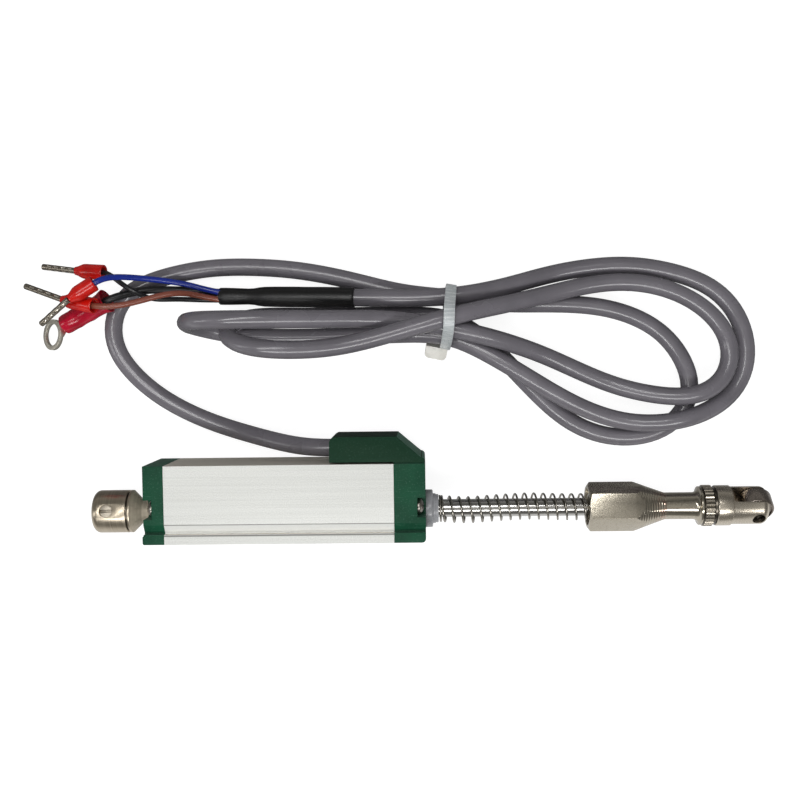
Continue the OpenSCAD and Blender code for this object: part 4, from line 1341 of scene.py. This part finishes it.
FERRULES = (
    Terminal((-43.2, 53.9, 6), (-50.4, 54.5, 4.8), (-58.8, 55.7, 3.2)),
    Terminal((-43.1, 50.9, 14.3), (-48.8, 47.3, 15), (-56.6, 41.8, 11.4)),
    Terminal((-43.7, 45.8, 12.5), (-52.2, 47.5, 9.4), (-62.3, 51, 5.4)),
)
LUG = Terminal((-42.2, 47.2, 7.6), (-53.5, 41.6, 4.8), (-56.6, 39.4, 3.5))
LEADS = (
    Lead(
        "blue_lead", 0.7, BLUE_INSULATION, "blue_insulation", (0, 0.8, 1),
        ((-20, 49.8, 4.4), (-24.3, 51, 5.2), (-32, 52.1, 7.8), (-39.3, 52.4, 12)),
        FERRULES[1], before=1.5,
    ),
    Lead(
        "black_lead", 0.6, BLACK_INSULATION, "black_insulation", (0, -0.9, -0.8),
        ((-21.3, 47.3, 2.6), (-26.5, 47.5, 4), (-31.9, 47.5, 6.2), (-35.2, 48.9, 7.9),
         (-39.9, 52, 7.4)),
        FERRULES[0],
    ),
    Lead(
        "brown_lead", 0.7, BROWN_INSULATION, "brown_insulation", (0, -0.9, 0.9),
        ((-19.4, 47.8, 4.8), (-23.5, 48.7, 6.6), (-28, 48.5, 8.3), (-32, 47.4, 9.8),
         (-36.3, 46.2, 11.4), (-40, 45.6, 12.6)),
        FERRULES[2],
    ),
    Lead(
        "screen_lead", 0.9, SCREEN_SLEEVE, "sleeve_black", (0, 0.9, -0.8),
        ((-26.6, 49.7, 3.3), (-33.5, 49.6, 5.5), (-37.5, 48.8, 6.4)),
        LUG, depth=1.0,
    ),
)


@dataclass
class Cable(Assembly):
    """The cable, its heat-shrink sleeve, the leads and what is crimped on them."""

    diameter: float = 4.2
    exit: Point = (10.4, 12.0, 9.0)
    route: tuple[Point, ...] = (
        (14, 12, 9), (9, 12, 9), (4.5, 12, 8.3), (-10, 15, 3.2), (-22, 19, 2.2),
        (-34, 26, 2.2), (-42.5, 36, 2.2), (-43, 41.5, 2.2), (-41.5, 46.5, 2.2),
        (-37.5, 50.3, 2.2), (-21, 54.7, 2.2), (-9, 55, 2.2), (3, 54, 2.2), (15, 51.5, 2.2),
        (27, 48.3, 2.4),
        (38.5, 47, 3.3), (50.5, 45.4, 2.3), (62.5, 45.3, 2.2), (74.5, 44.5, 2.2),
        (84, 41.5, 2.2), (91, 36.5, 2.2), (96.5, 25.3, 2.2), (95, 20, 2.2), (91, 15.5, 2.2),
        (84, 13, 2.2), (75.5, 13.3, 2.2), (67.5, 16.5, 2.2), (61.5, 21.5, 2.2),
        (53, 30.5, 2.2), (45, 38.5, 2.5),
        (38.5, 42.3, 3.3), (26.5, 43, 2.3), (14.5, 43, 2.2), (2.5, 43, 2.2), (-7, 43.3, 2.2),
        (-12, 42.5, 4.5), (-14.5, 40, 10), (-12, 37.2, 15.6), (-6, 35.5, 18.9), (2, 35, 18),
        (12, 35.5, 15.2), (21, 37.5, 14.2), (30, 40, 14.2),
        (38.5, 42.3, 13.7), (46, 44, 10.8), (56, 46, 7.4), (65.5, 48.3, 5.2), (74, 50, 4.4),
        (83.5, 50, 4.4), (93, 47.3, 4.4), (100, 42.7, 4.4), (104.2, 37.5, 4.4),
        (105.2, 32, 4.5), (103.5, 27, 5.2), (99, 23.7, 6.4), (93.5, 22.6, 6.8), (79, 25, 3.6),
        (69.5, 29, 2.6), (61, 33, 3.6), (52.5, 36, 7.1), (45.5, 38, 10.1),
        (30, 41.3, 9.7), (20, 42, 11.6), (9, 42, 15), (-2, 42, 18.6), (-12, 42, 20.2),
        (-20, 42, 17.8), (-24, 41.7, 11.2), (-21.5, 40.7, 4.8), (-16, 39.2, 2.2),
        (-8, 38.2, 2.2), (4, 38, 2.2), (17, 38.2, 2.2), (29, 38.5, 2.9),
        (38.2, 38, 4.7), (52.5, 30.5, 6.8), (62, 24.5, 6.7), (71.5, 19.5, 5), (81, 16.7, 4.8),
        (89, 16.7, 6.6), (95, 17.8, 6.4), (102, 20.5, 3.6), (107, 24.5, 2.3), (109.5, 31, 2.2),
        (108.8, 38, 2.2), (105.3, 45, 2.2), (99.5, 49.7, 2.2), (84, 54, 2.2), (73.5, 54, 2.2),
        (62.5, 52.3, 2.5), (50.5, 49, 5.6),
        (38.5, 47, 7.8), (27, 46.9, 6.6), (16, 47.2, 5.7),
    )
    sleeve_dir: Point = (-11, 0.3, -0.9)
    sleeve_length: float = 32.5
    leads_inside: float = 0.6
    dents: int = 4
    dent_first: float = 0.7
    pinched: Span = (5.0, 9.2)
    eye_reach: float = 3.6
    eye_turn: float = 27.0

    def build(self) -> None:
        line = flowing(self.route, 1.6, 14)
        jacket = dressed(tube("cable_jacket", line, self.diameter / 2, 5), CABLE_JACKET)
        self.stand_for(jacket, "cable")
        pieces = [self.sleeve(), *self.leads(), self.collars(), self.pins(), *self.lug()]
        pieces += CableTie(self.nodes).build()
        length = sum((b - a).length for a, b in zip(line, line[1:]))
        LOG.info("cable length %.1f mm", length)

    def sleeve(self) -> bpy.types.Object:
        """Makes the heat-shrink sleeve, necked where the cable ends inside it.

        Returns:
            The sleeve.
        """
        start = Vector(self.route[-1])
        stations = (
            (0.1, 2.12), (0.02, 2.3), (0.16, 2.46), (0.6, 2.47), (3, 2.45), (7, 2.47), (11, 2.44),
            (15, 2.46), (19, 2.42), (21.6, 2.36), (23.0, 2.2), (24.2, 1.98), (25.4, 1.9),
            (27.4, 1.96), (29.4, 2.02), (31.2, 2.05), (32.3, 2.03), (32.5, 1.9), (32.45, 1.6),
        )
        obj = turned("heat_shrink_sleeve", stations, aim(start, start + Vector(self.sleeve_dir)))
        smooth(obj, 50.0)
        dressed(obj, SHRINK_BLACK)
        return self.stand_for(obj, "heat_shrink")

    def leads(self) -> list[bpy.types.Object]:
        """Makes the leads between the sleeve and their terminals.

        Returns:
            The leads.
        """
        way = Vector(self.sleeve_dir).normalized()
        start = Vector(self.route[-1]) + way * self.sleeve_length - way * self.leads_inside
        made = []
        for lead in LEADS:
            mouth = (lead.terminal.inside(-lead.before), lead.terminal.inside(lead.depth))
            line = flowing((tuple(start + Vector(lead.across)), *lead.way, *mouth), 0.8, 6)
            wire = dressed(tube(lead.node + "_wire", line, lead.radius, 4), lead.finish)
            made.append(self.stand_for(wire, lead.node))
        return made

    def collars(self) -> bpy.types.Object:
        """Makes the plastic collars: a funnel mouth, a round body and a tapered throat.

        Returns:
            The collars as one piece.
        """
        made = []
        for number, terminal in enumerate(FERRULES):
            length = (Vector(terminal.neck) - Vector(terminal.mouth)).length
            stations = (
                (1.5, 0.55), (1.4, 0.95), (0.8, 1.25), (0.12, 1.6), (0, 1.72), (0.1, 1.82),
                (0.5, 1.82), (length * 0.45, 1.8), (length - 2.6, 1.8), (length - 2.0, 1.7),
                (length - 0.7, 1.14), (length - 0.3, 1.03), (length - 0.05, 0.98),
                (length - 0.02, 0.75),
            )
            obj = turned(f"ferrule_collar_{number}", stations, aim(terminal.mouth, terminal.neck))
            smooth(obj, 50.0)
            made.append(dressed(obj, COLLAR_RED))
        return self.as_one(made, "ferrule_collars", "collar_red")

    def pins(self) -> bpy.types.Object:
        """Makes the crimped pins: a thin tube with dents on four sides and an open end.

        Returns:
            The pins as one piece.
        """
        made = []
        for number, terminal in enumerate(FERRULES):
            length = (Vector(terminal.tip) - Vector(terminal.neck)).length
            pitch = (length - 2 * self.dent_first) / self.dents
            starts = [self.dent_first + k * pitch for k in range(self.dents)]
            stations: list[Span] = [(0.02, 0.7), (0.5, 0.72)]
            for start in starts:
                stations += [(start + pitch * part, 0.72) for part in (0.0, 0.62, 0.8)]
            stations += [
                (length - 0.12, 0.72), (length, 0.66), (length - 0.02, 0.5), (length - 1.2, 0.46)
            ]
            obj = turned(f"ferrule_pin_{number}", stations, Matrix.Identity(4), 16)
            dressed(obj, TINNED).data.materials.append(TINNED_DENT_HIGHLIGHT.material())
            self.crimp(obj, [(start, start + pitch * 0.62) for start in starts])
            bevelled(obj, 0.05, 1, 25.0)
            obj.matrix_world = aim(terminal.neck, terminal.tip, 22.5 + 45.0 * number)
            settle(obj)
            made.append(smooth(obj, 40.0))
        return self.as_one(made, "ferrule_pins", "tinned_copper")

    def crimp(self, obj: bpy.types.Object, spans: Sequence[Span]) -> None:
        """Presses four rows of dents into a pin along Z and gives them the second finish, a painted
        highlight.

        Args:
            obj: the pin, before it is set in place.
            spans: start and end of each dent along the pin.
        """
        with editing(obj, "FACE"):
            for side in range(4):
                angle = math.radians(90.0 * side)
                way = Vector((math.cos(angle), math.sin(angle), 0))

                def dented(face: bmesh.types.BMFace) -> bool:
                    """Whether the face is on this side of the wall, where a dent goes.

                    Args:
                        face: the face.

                    Returns:
                        True if it is.
                    """
                    middle = face.calc_center_median() / MM
                    round_wall = abs(face.normal.z) < 0.1 and middle.xy.length > 0.6
                    on_side = round_wall and face.normal.dot(way) > 0.9
                    return on_side and any(a < middle.z < b for a, b in spans)

                choose(obj, "faces", dented)
                bpy.ops.mesh.inset(thickness=0.06 * MM, depth=-0.2 * MM)
                # the dents take the painted-highlight finish
                obj.active_material_index = 1  # the dents' own finish
                bpy.ops.object.material_slot_assign()

    def lug(self) -> list[bpy.types.Object]:
        """Makes the ring terminal and its insulating sleeve, pinched by the crimping tool.

        Returns:
            The terminal and its sleeve.
        """
        ring = self.soften("ring_terminal", LUG_TIN, 0.1)
        self.twist(ring)
        length = (Vector(LUG.neck) - Vector(LUG.mouth)).length
        stations = (
            (2.6, 0.8), (2.4, 1.3), (1.4, 2.0), (0.2, 2.62), (0.0, 2.76), (0.08, 2.9),
            (0.6, 2.8), (1.6, 2.5), (2.6, 2.4), (4.2, 2.38), (5.4, 2.32), (6.6, 2.2),
            (7.8, 2.18), (9.0, 2.28), (10.2, 2.36), (length - 0.9, 2.38), (length - 0.3, 2.3),
            (length - 0.1, 2.05), (length - 0.12, 1.6),
        )
        sleeve = turned("lug_sleeve", stations, Matrix.Identity(4))
        self.pinch(sleeve)
        sleeve.matrix_world = aim(LUG.mouth, LUG.neck)
        settle(sleeve)
        smooth(sleeve, 50.0)
        dressed(sleeve, LUG_RED)
        self.stand_for(sleeve, "ring_terminal_sleeve")
        return [ring, sleeve]

    def twist(self, ring: bpy.types.Object) -> None:
        """Turns the flat eye of the ring terminal about its stem, and the stem less and less.

        Args:
            ring: the ring terminal.
        """
        fade = 1.5
        pivot = Vector(LUG.tip) * MM
        stem = (Vector(LUG.neck) - Vector(LUG.tip)).normalized()
        for vert in ring.data.vertices:
            past = (vert.co - pivot).dot(stem) / MM - self.eye_reach
            share = min(1.0, max(0.0, 1.0 - past / fade))
            if share > 0.0:
                turn = Matrix.Rotation(math.radians(self.eye_turn * share), 3, stem)
                vert.co = pivot + turn @ (vert.co - pivot)
        ring.data.update()

    def pinch(self, sleeve: bpy.types.Object) -> None:
        """Flattens the lug's sleeve along its Y between two distances.

        Args:
            sleeve: the sleeve, before it is set in place.
        """
        start, end = self.pinched
        with editing(sleeve):
            choose(sleeve, "verts", lambda vert: start < vert.co.z / MM < end)
            bpy.ops.transform.resize(value=(1.08, 0.86, 1), center_override=(0, 0, start * MM))

    def as_one(self, parts: list[bpy.types.Object], node: str, slot: str) -> bpy.types.Object:
        """Joins copies into one piece that stands for a node.

        Args:
            parts: the separate meshes.
            node: the node that they stand for.
            slot: the material slot.

        Returns:
            The joined piece.
        """
        bpy.ops.object.select_all(action="DESELECT")
        for part in parts:
            part.select_set(True)
        bpy.context.view_layer.objects.active = parts[0]
        bpy.ops.object.join()
        joined = bpy.context.active_object
        joined.name = node + "_finished"
        return self.stand_for(joined, node)


@dataclass
class CableTie(Assembly):
    """The tie's serrated strap and its head, laid a little slack on the strands."""

    strap_edge: float = 0.2
    head_edge: float = 0.5
    lean: float = 0.85
    drop: float = 0.8
    drop_from: float = 0.6

    def build(self) -> list[bpy.types.Object]:
        """Makes the strap and the head.

        Returns:
            Both pieces.
        """
        strap = self.soften("tie_strap", TIE_NYLON, self.strap_edge, 2, 40.0)
        head = self.soften("tie_head", TIE_HEAD, self.head_edge, 3, 20.0)
        heights = [vert.co.y for vert in strap.data.vertices]
        for piece in (strap, head):
            self.slacken(piece, min(heights), max(heights))
        return [strap, head]

    def slacken(self, obj: bpy.types.Object, low: float, high: float) -> None:
        """Moves the tie's ends along X in opposite directions and lowers its upper end along Y.

        Args:
            obj: the strap or the head.
            low: the strap's lowest place along Y, in metres.
            high: its highest.
        """
        for vert in obj.data.vertices:
            share = min(1.0, max(0.0, (vert.co.y - low) / (high - low)))
            upper = max(0.0, (share - self.drop_from) / (1.0 - self.drop_from))
            vert.co.x += self.lean * math.cos(math.pi * share) * MM
            vert.co.y -= self.drop * upper * MM
        obj.data.update()


@dataclass
class Housing(Assembly):
    """Profile, end caps, bushes, seals and screws."""

    profile_edge: float = 0.1
    cap_edge: float = 0.35
    cap_corner: float = 0.9
    bush_edge: float = 0.2
    screw_edge: float = 0.08

    def build(self) -> None:
        """Makes the housing's pieces."""
        profile = self.soften("housing_tube", PROFILE, self.profile_edge, crease=22.0)
        for node in ("rear_cap", "front_cap"):
            cap = self.soften(node, CAP_GREEN, self.cap_edge, 3, 30.0, 24.0, self.cap_corner)
        self.soften("front_bush", BUSH_GREY, self.bush_edge)
        for node in ("rear_cap_screws", "front_cap_screws"):
            self.soften(node, SCREW_STEEL, self.screw_edge)
        for node in ("rear_seal", "front_seal"):
            self.keep(node, SEAL_BLACK)
        self.keep("rear_bush", BUSH_GREY)


@dataclass
class Element(Assembly):
    """The potentiometer inside the housing."""

    def build(self) -> None:
        """Dresses the pieces inside the housing."""
        finishes = {
            "track_board": BOARD_BROWN,
            "resistive_track": TRACK_INK,
            "collector_track": COLLECTOR_INK,
            "board_terminals": TINNED,
            "inner_leads": INNER_LEADS,
            "wiper_carriage": CARRIAGE_IVORY,
            "wiper_springs": CONTACT,
            "carriage_circlips": SCREW_STEEL,
        }
        for node, finish in finishes.items():
            self.keep(node, finish)


@dataclass
class Rod(Assembly):
    """Push rod with its stop, spring cup, lock ring and fork."""

    stop_edge: float = 0.12
    tip_edge: float = 0.14
    small_edge: float = 0.1
    knurl_edge: float = 0.02
    flare: Span = (-36.7, -34.2)
    flare_radii: Span = (5.0, 2.5)

    def build(self) -> None:
        """Makes the rod's pieces."""
        self.keep("push_rod", ROD_STEEL)
        stop = self.soften("rear_stop", STOP_NICKEL, self.stop_edge)
        self.straighten(stop)
        self.soften("grub_screw", GRUB_STEEL, self.small_edge)
        self.soften("spring_cup", CUP_NICKEL, self.tip_edge)
        self.soften("lock_ring", FORK_NICKEL, self.knurl_edge, 1, crease=20.0)
        self.soften("roller_fork", FORK_NICKEL, self.tip_edge)
        self.soften("roller_pin", PIN_BLACK_AND_SHADED, self.small_edge)

    def straighten(self, stop: bpy.types.Object) -> None:
        """Draws the curved flare of the rear stop out into a plain cone.

        Args:
            stop: the rear stop; what lies deeper than the cone's narrow end stays.
        """
        start, end = self.flare
        wide, narrow = self.flare_radii
        slack = 0.02
        for vert in stop.data.vertices:
            x = vert.co.x / MM
            arm = Vector((0.0, vert.co.y - AXIS_Y * MM, vert.co.z - AXIS_Z * MM))
            if start < x < end and arm.length > (narrow - slack) * MM:
                radius = wide + (narrow - wide) * (x - start) / (end - start)
                vert.co += arm.normalized() * (radius * MM - arm.length)
        stop.data.update()


@dataclass
class Roller(Assembly):
    """The ball bearing that rolls on what the sensor measures."""

    ring_edge: float = 0.12

    def build(self) -> None:
        """Makes the roller's pieces."""
        for node in ("roller_outer_ring", "roller_inner_ring"):
            self.soften(node, ROLLER_STEEL, self.ring_edge)
        for node in ("roller_balls", "roller_shields"):
            self.keep(node, ROLLER_STEEL)


@dataclass
class ReturnSpring(Assembly):
    """The open coil spring between the bush and the cup, with closed end turns."""

    start_x: float = 35.2
    length: float = 38.3
    coil_radius: float = 2.95
    wire: float = 0.5
    turns: int = 19
    closed: float = 1.2
    gap: float = 0.05
    travel: float = 25.0
    steps: int = 36

    def rise(self, turn: float) -> float:
        """Distance along the spring after some turns.

        Args:
            turn: turns from the start.

        Returns:
            The distance in millimetres.
        """
        span = self.length - 2 * self.gap - self.wire
        pitch = (span - 2 * self.closed * self.wire) / (self.turns - 2 * self.closed)
        if turn < self.closed:
            return turn * self.wire
        if turn > self.turns - self.closed:
            return span - (self.turns - turn) * self.wire
        return self.closed * self.wire + (turn - self.closed) * pitch

    def sag(self, share: float) -> float:
        """How far the loose turns lie off the rod's axis, low near the bush and high past it.

        Args:
            share: share of the spring's length, from 0 to 1.

        Returns:
            The offset along Y in millimetres.
        """
        reach = 0.13
        low = math.exp(-(((share - 0.2) / reach) ** 2))
        high = math.exp(-(((share - 0.55) / reach) ** 2))
        return 0.28 * high - 0.45 * low

    def middle_line(self) -> list[Vector]:
        """Draws the wire's middle line.

        Returns:
            The points of the line in millimetres.
        """
        line = []
        for i in range(self.turns * self.steps + 1):
            turn = i / self.steps
            angle = 2 * math.pi * turn
            x = self.start_x + self.gap + self.wire / 2 + self.rise(turn)
            y = AXIS_Y + self.sag(turn / self.turns) + self.coil_radius * math.cos(angle)
            line.append(Vector((x, y, AXIS_Z + self.coil_radius * math.sin(angle))))
        return line

    def build(self) -> None:
        """Makes the spring's wire, sets it on the spring's body and gives it a mesh of its own."""
        pick(tube("return_spring_wire", self.middle_line(), self.wire / 2, 2))
        bpy.ops.object.convert(target="MESH")
        wire = smooth(outward(bpy.context.active_object), 60.0)
        dressed(wire, SPRING_WIRE)
        self.stand_for(wire, "return_spring")
        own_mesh(wire)


def main() -> None:
    """Builds the studio and every sub-assembly in order."""
    logging.basicConfig(level=logging.INFO, format="%(name)s: %(message)s")
    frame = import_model()
    bpy.context.scene.view_settings.view_transform = "Standard"
    Studio().build()
    for kind in (Cable, Housing, Element, Rod, Roller, ReturnSpring):
        kind(frame["nodes"]).build()
    bpy.ops.object.select_all(action="DESELECT")


if __name__ == "__main__":
    main()
